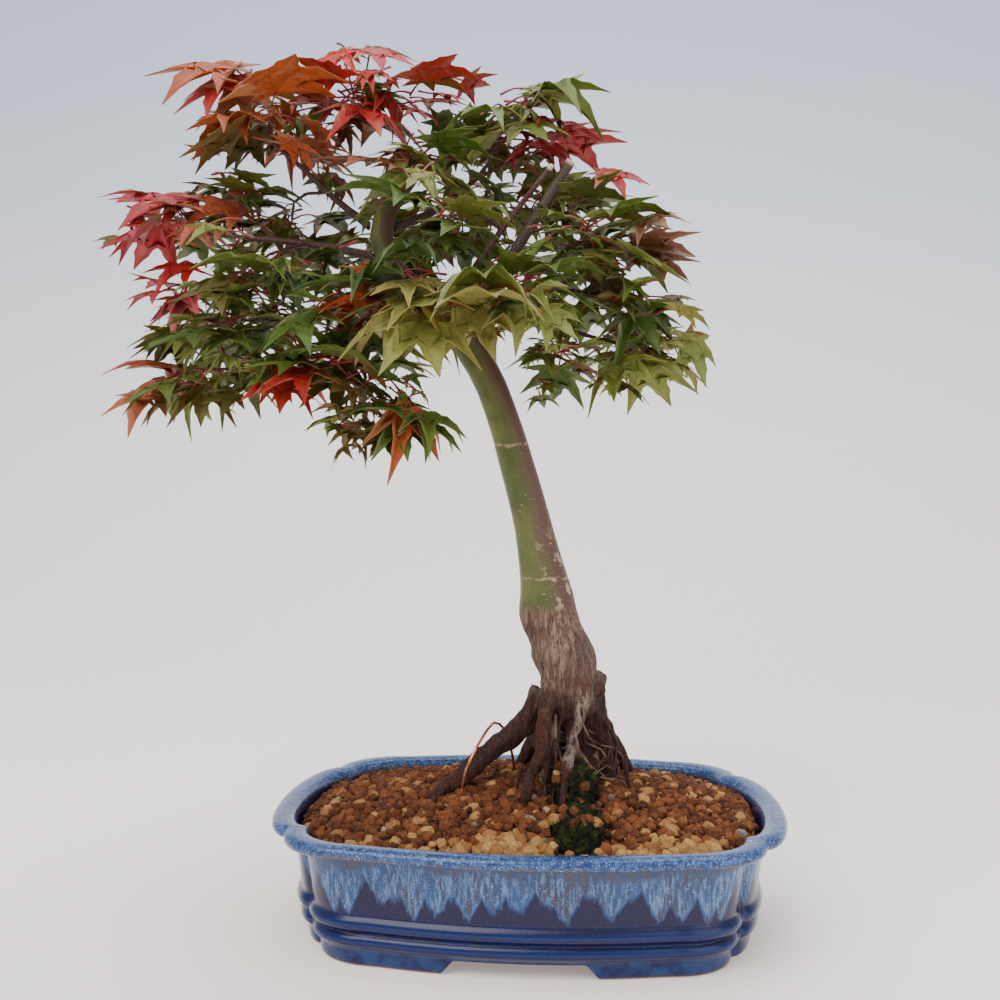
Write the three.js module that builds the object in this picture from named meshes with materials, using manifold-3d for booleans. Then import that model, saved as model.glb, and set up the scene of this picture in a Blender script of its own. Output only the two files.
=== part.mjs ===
// A Japanese maple bonsai with exposed roots, in a glazed stoneware pot with four lobed corners.
// Millimetres, +Z up, +X along the pot's length, -Y to the front. The tree is planted in granular
// soil, tied in with copper wire, and its leaves grow in clusters from the buds at the twig ends.
// Everything is placed from the middle of the pot's footprint; the last lines move the whole group
// so that the origin is below the middle of the object, on the surface that it stands on.
import * as THREE from "three";
import { mergeVertices } from "three/addons/utils/BufferGeometryUtils.js";
import Module from "manifold-3d";

const wasm = await Module();
wasm.setup();

// ---- Sizes -----------------------------------------------------------------------------------

const GAP = 0.35; // between any two pieces that touch

const POT = {
  length: 240,
  depth: 178,
  height: 56,
  endBulge: 15, // how far an end lobe stands out from the notches beside it
  notchY: 53.5, // half the width of an end lobe
  joinX: 74, // where a corner lobe meets the long front or back lobe
  longBulge: 8.5, // how far the long lobe stands out from there
  rimWidth: 10.5,
  rimHeight: 5.5,
  neckInset: 8.8, // the body's face below the rim, in from the rim's edge
  waistInset: 12.5, // the body's face above the belts
  wall: 4.6,
  floor: 6,
  footHeight: 7,
  footInset: 16.5,
  footWidth: 9.5,
  beltHeight: 7.8, // two belts run round above the feet
  beltProud: 2.6,
  archFront: 56,
  archEnd: 40,
  archSlope: 6,
};
const LOBE_STEPS = 3; // segments along each quarter lobe of the pot's outline

const DRAIN = { radius: 9, x: 55, wireHole: 2.5 };
const SCREEN = { side: 30, thick: 1, cells: 4, cell: 4.4 };
const CLIP = { radius: 0.5, foot: 11, rise: 1.6 };

const SOIL = { belowRim: 5.5, rise: 16, peakX: 5, reachX: 105, reachY: 76 };

const TREE = { scale: 1 }; // the tree's own tables are drawn for a tree 380 mm tall
const TWIG_RADIUS = 0.9;

const WIRE_RADIUS = 0.75;
const LEAF_THICK = 1.6; // at the stalk's end, thinning to the leaf's edge
const LEAF_SAG = 0.3; // how far the lobes' tips hang, as a share of their length
const STALK_RADIUS = 0.8;
const BUD_RADIUS = 1.9;

// ---- Helpers ---------------------------------------------------------------------------------

const vec = (p) => new THREE.Vector3(...p);

// Repeatable numbers from 0 to 1, so that the tree is the same each time it is built.
function dice(seed) {
  let state = seed;
  return () => {
    state = (state * 1664525 + 1013904223) % 4294967296;
    return state / 4294967296;
  };
}

// A closed three.js geometry as a solid that can be joined and cut, its faces pointing out.
function solid(geometry) {
  const bare = geometry.index ? geometry.toNonIndexed() : geometry.clone();
  bare.deleteAttribute("normal");
  bare.deleteAttribute("uv");
  const merged = mergeVertices(bare, 1e-4);
  const vertProperties = merged.attributes.position.array;
  const faces = new Uint32Array(merged.index.array);
  const made = new wasm.Manifold(new wasm.Mesh({ numProp: 3, vertProperties, triVerts: faces }));
  if (made.volume() > 0) return made;
  return new wasm.Manifold(
    new wasm.Mesh({ numProp: 3, vertProperties, triVerts: faces.slice().reverse() }),
  );
}

const join = (solids) => solids.reduce((whole, next) => whole.add(next));

// The largest body of a cut solid: crumbs that a cut leaves are dropped.
function largest(shape) {
  const bodies = shape.decompose();
  return bodies.reduce((best, next) => (next.volume() > best.volume() ? next : best));
}

function mesh(name, shape, colour, roughness = 0.8, metalness = 0) {
  const { numProp, numVert, vertProperties, triVerts } = shape.getMesh();
  const points = new Float32Array(numVert * 3);
  for (let i = 0; i < numVert; i++) {
    points.set(vertProperties.subarray(i * numProp, i * numProp + 3), i * 3);
  }
  const geometry = new THREE.BufferGeometry();
  geometry.setAttribute("position", new THREE.BufferAttribute(points, 3));
  geometry.setIndex(new THREE.BufferAttribute(triVerts, 1));
  geometry.computeVertexNormals();
  const material = new THREE.MeshStandardMaterial({ color: colour, roughness, metalness });
  const made = new THREE.Mesh(geometry, material);
  made.name = name;
  return made;
}

// A closed cylinder with each ring moved to place(ring, step, share). share is 1 on the wall and 0
// at the middle of the two caps.
function wrap(steps, rings, place) {
  const geometry = new THREE.CylinderGeometry(1, 1, 1, steps, rings);
  const points = geometry.attributes.position;
  for (let i = 0; i < points.count; i++) {
    const turn = Math.atan2(points.getX(i), points.getZ(i)) / (2 * Math.PI);
    const step = (Math.round(turn * steps) + steps) % steps;
    const ring = Math.round((0.5 - points.getY(i)) * rings);
    const share = Math.round(Math.hypot(points.getX(i), points.getZ(i)));
    points.setXYZ(i, ...place(ring, step, share));
  }
  return solid(geometry);
}

// A tapered limb along a smooth curve through the points, its radius running through the radii.
function limb(points, radii, sides = 8, rings = 10, swell = 0) {
  const curve = new THREE.CatmullRomCurve3(points.map(vec));
  const frames = curve.computeFrenetFrames(rings);
  return wrap(sides, rings, (ring, step, share) => {
    const along = (ring / rings) * (radii.length - 1);
    const from = Math.min(Math.floor(along), radii.length - 2);
    const radius = THREE.MathUtils.lerp(radii[from], radii[from + 1], along - from) + swell;
    const angle = (step / sides) * 2 * Math.PI;
    return curve
      .getPointAt(ring / rings)
      .addScaledVector(frames.normals[ring], share * radius * Math.cos(angle))
      .addScaledVector(frames.binormals[ring], share * radius * Math.sin(angle))
      .toArray();
  });
}

// A round wire of one radius with bends at its points.
function wire(points, radius, steps) {
  const curve = new THREE.CatmullRomCurve3(points.map(vec), false, "catmullrom", 0.4);
  const section = new THREE.Shape().absellipse(0, 0, radius, radius, 0, 2 * Math.PI);
  return solid(
    new THREE.ExtrudeGeometry(section, { extrudePath: curve, steps, curveSegments: 3 }),
  );
}

function box(x, y, z, sizeX, sizeY, sizeZ) {
  return solid(new THREE.BoxGeometry(sizeX, sizeY, sizeZ).translate(x, y, z));
}

// ---- The pot ---------------------------------------------------------------------------------

const halfLength = POT.length / 2;
const halfDepth = POT.depth / 2;
const floorTop = POT.footHeight + POT.floor;
const soilEdge = POT.height - SOIL.belowRim;

// One quarter of the pot's outline: half an end lobe, a corner lobe and half a long lobe.
function quarterOutline() {
  const notchX = halfLength - POT.endBulge;
  const joinY = halfDepth - POT.longBulge;
  const points = [];
  for (let i = 0; i < LOBE_STEPS; i++) {
    const turn = (i / LOBE_STEPS) * (Math.PI / 2);
    points.push([notchX + POT.endBulge * Math.cos(turn), POT.notchY * Math.sin(turn)]);
  }
  for (let i = 0; i < LOBE_STEPS; i++) {
    const turn = (i / LOBE_STEPS) * (Math.PI / 2);
    const x = POT.joinX + (notchX - POT.joinX) * Math.cos(turn);
    points.push([x, POT.notchY + (joinY - POT.notchY) * Math.sin(turn)]);
  }
  for (let i = 0; i <= LOBE_STEPS; i++) {
    const share = 1 - i / LOBE_STEPS;
    points.push([POT.joinX * share, joinY + POT.longBulge * (1 - share * share)]);
  }
  return points;
}

// The whole outline, anticlockwise from +X.
function outline() {
  const quarter = quarterOutline();
  const back = [...quarter, ...quarter.slice(0, -1).reverse().map(([x, y]) => [-x, y])];
  return [...back, ...back.slice(1, -1).reverse().map(([x, y]) => [x, -y])];
}
const OUTLINE = outline();

// The outline drawn in by an inset, so that a wall between two insets keeps its thickness.
function inPlan(step, inset, share = 1) {
  const [x, y] = OUTLINE[step];
  return [
    (share * x * (halfLength - inset)) / halfLength,
    (share * y * (halfDepth - inset)) / halfDepth,
  ];
}

// A solid with the pot's outline, from a section of [inset, height] pairs closed by flat caps.
function lobed(section, height = (z) => z) {
  return wrap(OUTLINE.length, section.length - 1, (ring, step, share) => {
    const [inset, z] = section[ring];
    const [x, y] = inPlan(step, inset, share);
    return [x, y, height(z, x, y, ring)];
  });
}

function potSection() {
  const { height, rimHeight, rimWidth, footInset, footWidth, footHeight, beltHeight } = POT;
  const belt = (base, inset) => [
    [inset + POT.beltProud, base + 0.4],
    [inset + 0.1, base + 0.3 * beltHeight],
    [inset + 0.1, base + 0.7 * beltHeight],
    [inset + POT.beltProud, base + beltHeight],
  ];
  const under = height - rimHeight;
  const lowerBelt = POT.waistInset + 0.4;
  return [
    [footInset + footWidth, footHeight],
    [footInset + footWidth, 0],
    [footInset, 0],
    [lowerBelt + POT.beltProud, footHeight],
    ...belt(footHeight, lowerBelt),
    ...belt(footHeight + beltHeight, POT.waistInset - POT.beltProud + 1),
    [POT.waistInset, footHeight + 2 * beltHeight + 2.5],
    [POT.waistInset - 0.7, under * 0.6],
    [POT.neckInset, under - 1],
    [1.6, under],
    [0, under + 0.35 * rimHeight],
    [0.3, height - 1.2],
    [1.8, height],
    [rimWidth - 1.2, height],
    [rimWidth, height - 1.4],
    [POT.neckInset + POT.wall, under],
    [POT.waistInset + POT.wall, floorTop + 2],
    [POT.waistInset + POT.wall + 2, floorTop],
  ];
}

// A long low opening with sloping ends between two feet, across the pot along x or y.
function arch(width, across) {
  const half = width / 2;
  const shape = new THREE.Shape()
    .moveTo(-half - POT.archSlope, -1)
    .lineTo(half + POT.archSlope, -1)
    .lineTo(half, POT.footHeight)
    .lineTo(-half, POT.footHeight);
  const length = 2 * POT.length;
  const bar = new THREE.ExtrudeGeometry(shape, { depth: length, bevelEnabled: false });
  bar.translate(0, 0, -length / 2).rotateX(Math.PI / 2);
  return solid(across === "x" ? bar.rotateZ(Math.PI / 2) : bar);
}

function drill(x, y, radius, sides) {
  const bit = new THREE.CylinderGeometry(radius, radius, POT.height, sides).rotateX(Math.PI / 2);
  return solid(bit.translate(x, y, 0));
}

// Where the tie wire's two legs go down through the pot's floor.
const LEGS = [
  [-8, 16],
  [-30, -27],
];

function pot() {
  let shape = lobed(potSection());
  const notFloor = box(0, 0, POT.height, POT.length, POT.depth, 2 * (POT.height - POT.footHeight));
  const feetOnly = [arch(POT.archFront, "y"), arch(POT.archEnd, "x")].map((a) =>
    a.subtract(notFloor),
  );
  for (const cut of feetOnly) shape = shape.subtract(cut);
  for (const side of [-1, 1]) shape = shape.subtract(drill(side * DRAIN.x, 0, DRAIN.radius, 16));
  for (const [x, y] of LEGS) shape = shape.subtract(drill(x, y, DRAIN.wireHole, 8));
  return largest(shape);
}

// A square of plastic mesh that keeps the soil out of a drain hole.
const screenPitch = SCREEN.side / (SCREEN.cells + 0.5);

function drainScreen(side) {
  const base = floorTop + GAP + SCREEN.thick / 2;
  const sheet = box(side * DRAIN.x, 0, base, SCREEN.side, SCREEN.side, SCREEN.thick);
  const cells = [];
  for (let i = 0; i < SCREEN.cells; i++) {
    for (let j = 0; j < SCREEN.cells; j++) {
      const x = side * DRAIN.x + screenPitch * (i - (SCREEN.cells - 1) / 2);
      const y = screenPitch * (j - (SCREEN.cells - 1) / 2);
      cells.push(box(x, y, base, SCREEN.cell, SCREEN.cell, 2 * SCREEN.thick));
    }
  }
  return cells.reduce((left, cell) => left.subtract(cell), sheet);
}

// The bent wire that holds a screen down: over two bars of the mesh and out under the floor.
function screenClip(side) {
  const leg = screenPitch / 2;
  const top = floorTop + GAP + SCREEN.thick + CLIP.rise;
  const under = POT.footHeight - CLIP.radius - GAP;
  const half = [
    [leg + CLIP.foot, leg, under],
    [leg + 1.2, leg, under],
    [leg, leg, under + 1.5],
    [leg, leg, top - 0.8],
  ];
  const bend = [...half, ...half.map(([x, y, z]) => [-x, y, z]).reverse()];
  const route = bend.map(([x, y, z]) => [x + side * DRAIN.x, y, z]);
  return wire(route, CLIP.radius, 20);
}

// ---- The tree's trunk and roots --------------------------------------------------------------

// A tree's points are measured from the pot's middle at the height of the soil's edge.
const planted = ([x, y, z]) => [TREE.scale * x, TREE.scale * y, TREE.scale * z + soilEdge];

// Each stem has the points that its middle runs through, and its radius along the way.
function stem({ at, radius }, sides, rings, swell) {
  return limb(at.map(planted), radius.map((r) => TREE.scale * r), sides, rings, swell);
}

const TRUNK = {
  at: [
    [22, -7, 48],
    [20, -7, 58],
    [17, -6, 70],
    [14, -4, 81],
    [10, -2, 92],
    [8.5, 0, 103],
    [5, 0, 121],
    [1, 0, 140],
    [-8, 0, 173],
    [-13, 0, 189],
    [-20, 0, 207],
    [-31, 0, 225],
    [-47, 0, 241],
    [-63, 0, 256],
    [-71, 0, 271],
    [-69, 0, 288],
    [-60, 0, 301],
    [-49, 0, 314],
  ],
  radius: [11.5, 12.6, 13.2, 13.6, 11, 9.3, 8.8, 8.4, 7.8, 7.6, 7.5, 7.8, 7.4, 6.8, 6, 5.6, 5, 4.4],
};

const ROOTS = [
  {
    at: [
      [8, -5, 58], [-2, -8, 42], [-15, -10, 33], [-27, -14, 23],
      [-42, -20, 12], [-54, -26, 0],
    ],
    radius: [8, 6, 5.8, 5.2, 3.6, 2.2],
  },
  {
    at: [
      [11, -12, 68], [9, -18, 53], [8, -20, 44], [7, -23, 35],
      [2, -29, 22], [-3, -36, 6],
    ],
    radius: [4.4, 3.9, 3.6, 3, 2.4, 1.8],
  },
  { at: [[8, -21, 40], [10, -23, 31], [9, -28, 20], [8, -33, 6]], radius: [2.2, 1.6, 1.4, 1.2] },
  {
    at: [
      [25, -12, 68], [27, -17, 57], [23, -22, 46], [20, -28, 35],
      [18, -35, 23], [16, -45, 4],
    ],
    radius: [3.6, 3.1, 2.8, 2.5, 2.2, 1.6],
  },
  {
    at: [
      [26, -2, 64], [29, 2, 48], [33, 5, 32], [35, 8, 16],
      [36, 10, -2],
    ],
    radius: [9.5, 8, 7.8, 8.2, 8.6],
  },
  { at: [[14, 4, 62], [8, 14, 42], [-1, 24, 24], [-10, 34, 2]], radius: [7, 5.2, 4.6, 3] },
  { at: [[20, 0, 60], [25, 2, 42], [26, 0, 26], [26, -6, 2]], radius: [8.5, 6.8, 7.2, 8] },
  { at: [[28, 2, 56], [38, 14, 34], [46, 26, 18], [54, 36, 0]], radius: [5.5, 4.2, 3.8, 2.6] },
  { at: [[16, -14, 50], [14, -24, 34], [13, -33, 18], [12, -38, 4]], radius: [1.6, 1.2, 1.1, 0.9] },
  { at: [[7, -20, 45], [-1, -22, 30], [-4, -25, 18], [-5, -28, 4]], radius: [1.4, 1, 0.9, 0.8] },
  { at: [[35, -2, 46], [42, -6, 34], [46, -8, 22], [47, -8, 4]], radius: [1.8, 1.2, 1, 0.9] },
];

// The healed end of a root that was cut off at the trunk's right side.
const NUB = { at: [[26, -6, 66], [31, -8, 62], [33.5, -9, 58]], radius: [4.5, 3.8, 3] };

function trunk(swell = 0) {
  return join([
    stem(TRUNK, 12, 26, swell),
    ...ROOTS.map((root) => stem(root, 6, 7, swell)),
    stem(NUB, 6, 2, swell),
  ]);
}

// ---- Soil, moss and wires --------------------------------------------------------------------

function soilHeight(x, y) {
  const across = (x - SOIL.peakX) / SOIL.reachX;
  const deep = y / SOIL.reachY;
  return soilEdge + SOIL.rise * Math.max(0, 1 - across * across - deep * deep);
}

function soilMound() {
  const atFloor = POT.waistInset + POT.wall + GAP;
  const atEdge = POT.neckInset + POT.wall + 1 + GAP;
  const crown = [0.8, 0.55, 0.3].map((share) => [halfDepth * (1 - share), 0]);
  const section = [
    [atFloor + 2.5, floorTop + GAP],
    [atFloor, floorTop + 2.5],
    [atEdge, soilEdge - 1.2],
    [atEdge + 2, soilEdge],
    ...crown,
  ];
  const top = section.length - crown.length - 1;
  return lobed(section, (z, x, y, ring) => (ring < top ? z : soilHeight(x, y)));
}

// The tie wire's end, turned over under the pot's floor so that it can't be drawn up.
function turnedEnd([x, y]) {
  const under = POT.footHeight - WIRE_RADIUS - 2 * GAP;
  return [
    [x + 6, y, under],
    [x + 1.2, y, under],
    [x, y, POT.footHeight + 1],
    [x, y, floorTop + 4],
  ];
}

// Over the thick left root, from behind it to the front.
const OVER_ROOT = [
  [-8, 14, 2],
  [-8, 11, 18],
  [-11, 3, 36],
  [-16, -9, 44],
  [-22, -21, 37],
  [-28, -27, 24],
  [-30, -27, 6],
];

const TIE = [
  ...turnedEnd(LEGS[0]),
  ...OVER_ROOT.map(planted),
  ...turnedEnd(LEGS[1]).reverse(),
];

// A pin of the same wire pressed into the soil over a surface root.
function pinRoute() {
  const x = -58;
  const y = -54;
  const top = soilHeight(x, y) + 1.6;
  return [
    [x - 5.5, y, top - 16],
    [x - 5.5, y, top - 2],
    [x - 4, y, top],
    [x + 4, y + 0.5, top],
    [x + 5.5, y + 0.5, top - 2],
    [x + 5.5, y + 0.5, top - 16],
  ];
}

const tieWire = (swell = 0) => wire(TIE, WIRE_RADIUS + swell, 36);
const soilPin = (swell = 0) => wire(pinRoute(), WIRE_RADIUS + swell, 16);

function soil(roots) {
  let shape = soilMound();
  for (const cut of [roots, tieWire(GAP), soilPin(GAP)]) shape = shape.subtract(cut);
  const pocket = SCREEN.thick + CLIP.rise + 2 * CLIP.radius + 2 * GAP;
  const side = SCREEN.side + 2 * GAP;
  for (const end of [-1, 1]) {
    shape = shape.subtract(box(end * DRAIN.x, 0, floorTop, side, side, 2 * pocket));
  }
  return largest(shape);
}

// The clump is two cushions, one against the roots and one running forwards over the soil.
const MOSS = [
  { at: [24, -48, 4], radii: [13, 24, 12] },
  { at: [22, -26, 16], radii: [11, 13, 15] },
];

function mossClump(roots) {
  const cushions = MOSS.map(({ at, radii }) =>
    solid(new THREE.SphereGeometry(1, 10, 6).scale(...radii).translate(...planted(at))),
  );
  return largest(join(cushions).subtract(soilMound().translate([0, 0, GAP])).subtract(roots));
}

// ---- Branches --------------------------------------------------------------------------------

// Each branch has one or more limbs. A twig leaves its limb at a share of the limb's length, and
// ends at a bud that carries a cluster of leaves.
const BRANCHES = [
  {
    name: "left_low",
    limbs: [
      {
        at: [
          [-36, -2, 230], [-66, -10, 222], [-101, -21, 216], [-130, -24, 211],
        ],
        radius: [3, 2.3, 1.7, 1.1],
      },
    ],
    twigs: [
      { from: 1, to: [-154, -15, 211], size: 38 },
      { from: 0.7, to: [-110, -33, 216], size: 31 },
      { from: 0.45, to: [-84, -47, 212], size: 38 },
      { from: 0.85, to: [-129, -40, 232], size: 32 },
    ],
  },
  {
    name: "left_middle",
    limbs: [
      {
        at: [
          [-52, 3, 246], [-89, 12, 241], [-126, 17, 239], [-145, 13, 238],
        ],
        radius: [3, 2.3, 1.6, 1.1],
      },
    ],
    twigs: [
      { from: 0.98, to: [-168, 2, 253], size: 23 },
      { from: 1, to: [-158, -6, 236], size: 32 },
      { from: 0.9, to: [-154, 33, 231], size: 31 },
      { from: 0.65, to: [-138, 56, 249], size: 34 },
    ],
  },
  {
    name: "left_upper",
    limbs: [
      {
        at: [
          [-66, 0, 264], [-98, -6, 270], [-130, -8, 274], [-154, -4, 277],
        ],
        radius: [2.8, 2.2, 1.6, 1],
      },
    ],
    twigs: [
      { from: 1, to: [-171, -3, 291], size: 31 },
      { from: 0.85, to: [-160, 26, 288], size: 31 },
      { from: 0.45, to: [-118, -45, 255], size: 32 },
      { from: 0.6, to: [-145, 17, 300], size: 29 },
    ],
  },
  {
    name: "top",
    limbs: [
      {
        at: [
          [-71, 0, 276], [-93, -4, 293], [-109, -9, 308], [-120, -11, 317],
        ],
        radius: [2.6, 2, 1.6, 1.1],
      },
      { at: [[-62, 0, 297], [-71, 2, 310], [-78, 4, 323], [-82, 3, 329]], radius: [2.6, 2, 1.5, 1] },
    ],
    twigs: [
      { from: 1, to: [-122, -15, 328], size: 40 },
      { from: 0.8, to: [-122, 17, 333], size: 34 },
      { from: 0.5, to: [-129, 52, 295], size: 34 },
      { limb: 1, from: 1, to: [-86, -3, 340], size: 36 },
      { limb: 1, from: 0.9, to: [-58, 9, 341], size: 32 },
      { limb: 1, from: 0.5, to: [-48, -24, 304], size: 34 },
    ],
  },
  {
    name: "top_right",
    limbs: [
      {
        at: [
          [-67, 3, 280], [-51, 5, 286], [-39, 6, 293], [-23, 6, 307],
          [-20, 6, 311],
        ],
        radius: [2.8, 2.4, 2, 1.5, 1.1],
      },
    ],
    twigs: [
      { from: 1, to: [-11, 0, 334], size: 34 },
      { from: 0.8, to: [1, 19, 319], size: 34 },
      { from: 0.5, to: [-39, 56, 298], size: 36 },
    ],
  },
  {
    name: "right_upper",
    limbs: [
      {
        at: [
          [-44, -3, 239], [-18, -10, 249], [2, -10, 279], [20, -10, 307],
        ],
        radius: [3.6, 3.2, 2.9, 2.6],
      },
      {
        at: [
          [-40, -4, 238], [-26, -25, 252], [-6, -26, 279], [12, -27, 301],
        ],
        radius: [2.2, 1.8, 1.6, 1.4],
      },
    ],
    twigs: [
      { from: 0.8, to: [12, 2, 290], size: 27 },
      { from: 0.6, to: [27, -19, 272], size: 34 },
      { limb: 1, from: 0.6, to: [-37, -52, 273], size: 36 },
    ],
  },
  {
    name: "right_middle",
    limbs: [
      {
        at: [
          [-38, 3, 232], [-11, 4, 243], [12, 2, 249], [15, 0, 251],
        ],
        radius: [2.8, 2.2, 1.6, 1.2],
      },
    ],
    twigs: [
      { from: 1, to: [38, -6, 263], size: 34 },
      { from: 0.95, to: [41, 6, 242], size: 31 },
      { from: 0.6, to: [1, -42, 247], size: 32 },
      { from: 0.5, to: [-6, 56, 274], size: 34 },
    ],
  },
  {
    name: "right_low",
    limbs: [
      {
        at: [
          [-29, -2, 223], [-11, -5, 231], [6, -6, 232], [26, -5, 227],
          [34, -3, 225],
        ],
        radius: [2.6, 2, 1.8, 1.3, 1],
      },
    ],
    twigs: [
      { from: 1, to: [46, -3, 222], size: 31 },
      { from: 0.6, to: [16, -18, 218], size: 27 },
    ],
  },
  {
    name: "front",
    limbs: [
      {
        at: [
          [-34, -4, 228], [-46, -27, 238], [-45, -53, 240], [-42, -67, 236],
        ],
        radius: [2.6, 2.1, 1.6, 1.1],
      },
      {
        at: [
          [-32, -3, 222], [-49, -20, 209], [-60, -32, 200], [-67, -35, 197],
        ],
        radius: [2, 1.6, 1.2, 0.9],
      },
    ],
    twigs: [
      { from: 0.95, to: [-47, -66, 238], size: 41 },
      { from: 1, to: [-18, -65, 238], size: 40 },
      { from: 0.6, to: [-78, -61, 239], size: 34 },
      { limb: 1, from: 1, to: [-76, -34, 190], size: 23 },
      { limb: 1, from: 0.9, to: [-60, -38, 193], size: 32 },
    ],
  },
  {
    name: "back",
    limbs: [
      {
        at: [
          [-60, 4, 252], [-65, 29, 260], [-69, 53, 261], [-73, 63, 258],
        ],
        radius: [2.8, 2.2, 1.6, 1.1],
      },
    ],
    twigs: [
      { from: 1, to: [-95, 63, 249], size: 36 },
      { from: 0.9, to: [-50, 63, 252], size: 36 },
      { from: 0.7, to: [-71, 62, 280], size: 34 },
    ],
  },
];

// A twig's middle: out of its limb, then gently up or down to the bud.
function twigRoute(parent, twig) {
  const curve = new THREE.CatmullRomCurve3(parent.at.map(planted).map(vec));
  const start = curve.getPointAt(twig.from);
  const end = vec(planted(twig.to));
  const along = curve.getTangentAt(twig.from);
  const reach = start.distanceTo(end);
  const middle = start.clone().lerp(end, 0.5).addScaledVector(along, 0.12 * reach);
  const back = end.clone().sub(middle).normalize();
  return [start, middle, end.addScaledVector(back, -BUD_RADIUS - GAP)].map((p) => p.toArray());
}

function branch(plan, swell = 0) {
  const limbs = plan.limbs.map((l) => stem(l, 6, 7, swell));
  const twigs = plan.twigs.map((twig) => {
    const parent = plan.limbs[twig.limb ?? 0];
    return limb(twigRoute(parent, twig), [TWIG_RADIUS + 0.25, TWIG_RADIUS], 5, 3, swell);
  });
  return join([...limbs, ...twigs]);
}

// ---- Leaves ----------------------------------------------------------------------------------

// A maple leaf's lobes and the notches between them: [turn from the middle lobe in degrees, reach
// as a share of the middle lobe]. The other half mirrors this one.
const LEAF_HALF = [
  [20, 0.4],
  [41, 0.9],
  [63, 0.34],
  [88, 0.62],
  [140, 0.17],
];
const STALK_SHARE = 0.5; // the stalk's length as a share of the middle lobe's
const LEAF_TRIES = 60;
const LEAVES_PER_BUD = 5;
const STALKS_MEET = 7; // round a bud, where its leaves' stalks may run into each other
const CROWN_MIDDLE = [-60, 0, 235];

// Round a leaf from its stalk's end at 0,0 and back, as [x, y, z]: its lobes hang below its middle.
function leafOutline(size) {
  const stalk = STALK_SHARE * size;
  const at = ([turn, reach], side) => {
    const angle = (side * turn * Math.PI) / 180;
    const out = size * reach;
    return [stalk + out * Math.cos(angle), out * Math.sin(angle), -LEAF_SAG * out * reach];
  };
  return [
    [0, -STALK_RADIUS, 0],
    ...[...LEAF_HALF].reverse().map((p) => at(p, -1)),
    at([0, 1], 1),
    ...LEAF_HALF.map((p) => at(p, 1)),
    [0, STALK_RADIUS, 0],
  ];
}

// A leaf that is thin at its edge and thickest where its lobes meet at the stalk.
function leaf(size, frame) {
  const ring = leafOutline(size);
  const geometry = new THREE.SphereGeometry(1, ring.length, 2);
  const points = geometry.attributes.position;
  for (let i = 0; i < points.count; i++) {
    const row = Math.floor(i / (ring.length + 1));
    const middle = [STALK_SHARE * size, 0, ((1 - row) * LEAF_THICK) / 2];
    points.setXYZ(i, ...(row === 1 ? ring[(i % (ring.length + 1)) % ring.length] : middle));
  }
  return solid(geometry.applyMatrix4(frame));
}

// The room that a leaf needs: its outline with GAP above and below.
function leafRoom(size, frame) {
  const ring = leafOutline(size + 2 * GAP);
  return wrap(ring.length, 1, (layer, step, share) => {
    const side = 1 - 2 * layer;
    const at = share ? ring[step] : [STALK_SHARE * size, 0, (side * LEAF_THICK) / 2];
    return new THREE.Vector3(at[0], at[1], at[2] + side * GAP).applyMatrix4(frame).toArray();
  });
}

// The way a leaf points and faces: turned from the crown's middle, drooping, and rolled over.
function leafFrame(root, turn, droop, roll) {
  const outward = root.clone().sub(vec(planted(CROWN_MIDDLE)));
  outward.z = 0;
  outward.normalize();
  const level = outward.clone().applyAxisAngle(new THREE.Vector3(0, 0, 1), turn);
  const side = new THREE.Vector3(0, 0, 1).cross(level).normalize();
  const along = level.clone().applyAxisAngle(side, droop);
  const face = along.clone().cross(side).applyAxisAngle(along, roll);
  return new THREE.Matrix4().makeBasis(along, face.clone().cross(along), face).setPosition(root);
}

const bud = (twig, swell = 0) =>
  solid(new THREE.IcosahedronGeometry(BUD_RADIUS + swell).translate(...planted(twig.to)));

// A cluster of leaves round one bud. A leaf that would touch what is already there is thrown again.
function leafCluster(twig, seed, others) {
  const throwDie = dice(seed);
  const root = vec(planted(twig.to));
  const leaves = [];
  for (let i = 0; i < LEAVES_PER_BUD; i++) {
    const fan = ((i + 0.5) / LEAVES_PER_BUD - 0.5) * 1.5 * Math.PI;
    for (let attempt = 0; attempt < LEAF_TRIES; attempt++) {
      const tried = attempt / LEAF_TRIES;
      const share = (0.72 + 0.36 * throwDie()) * (1 - 0.35 * tried);
      const size = TREE.scale * twig.size * share;
      const turn = fan + (throwDie() - 0.5) * (0.9 + 2.5 * tried);
      const droop = -0.25 + 1.05 * throwDie() - (twig.to[2] - CROWN_MIDDLE[2]) / 420;
      const frame = leafFrame(root, turn, droop, (throwDie() - 0.5) * 1.1);
      const zone = leafRoom(size, frame);
      const beside = leaves.some((other) => shareOf(other, zone, root) > 0);
      if (beside || others.some((other) => touches(other, zone))) continue;
      leaves.push(leaf(size, frame));
      break;
    }
  }
  return join([bud(twig), ...leaves]);
}

function boxesMeet(a, b) {
  const p = a.boundingBox();
  const q = b.boundingBox();
  return [0, 1, 2].every((i) => p.min[i] < q.max[i] && q.min[i] < p.max[i]);
}

const touches = (a, b) => boxesMeet(a, b) && a.intersect(b).volume() > 1e-4;

// How much two leaves of one bud share away from the bud, where their stalks meet.
function shareOf(a, b, root) {
  if (!boxesMeet(a, b)) return 0;
  const common = a.intersect(b);
  const near = solid(new THREE.IcosahedronGeometry(STALKS_MEET, 1).translate(...root.toArray()));
  return common.subtract(near).volume();
}

// ---- The whole ---------------------------------------------------------------------------------

const COLOURS = {
  glaze: 0x2f4f86,
  screen: 0x1d1f1e,
  steel: 0x9a9a98,
  copper: 0xc4684a,
  soil: 0x7a4526,
  moss: 0x2c3a1a,
  bark: 0x6b6a3a,
  twig: 0x5a2a24,
};
const LEAF_COLOURS = [0x5f8a34, 0x9aa83a, 0xd08a3a, 0xb8402c]; // from the shaded middle outwards

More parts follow.
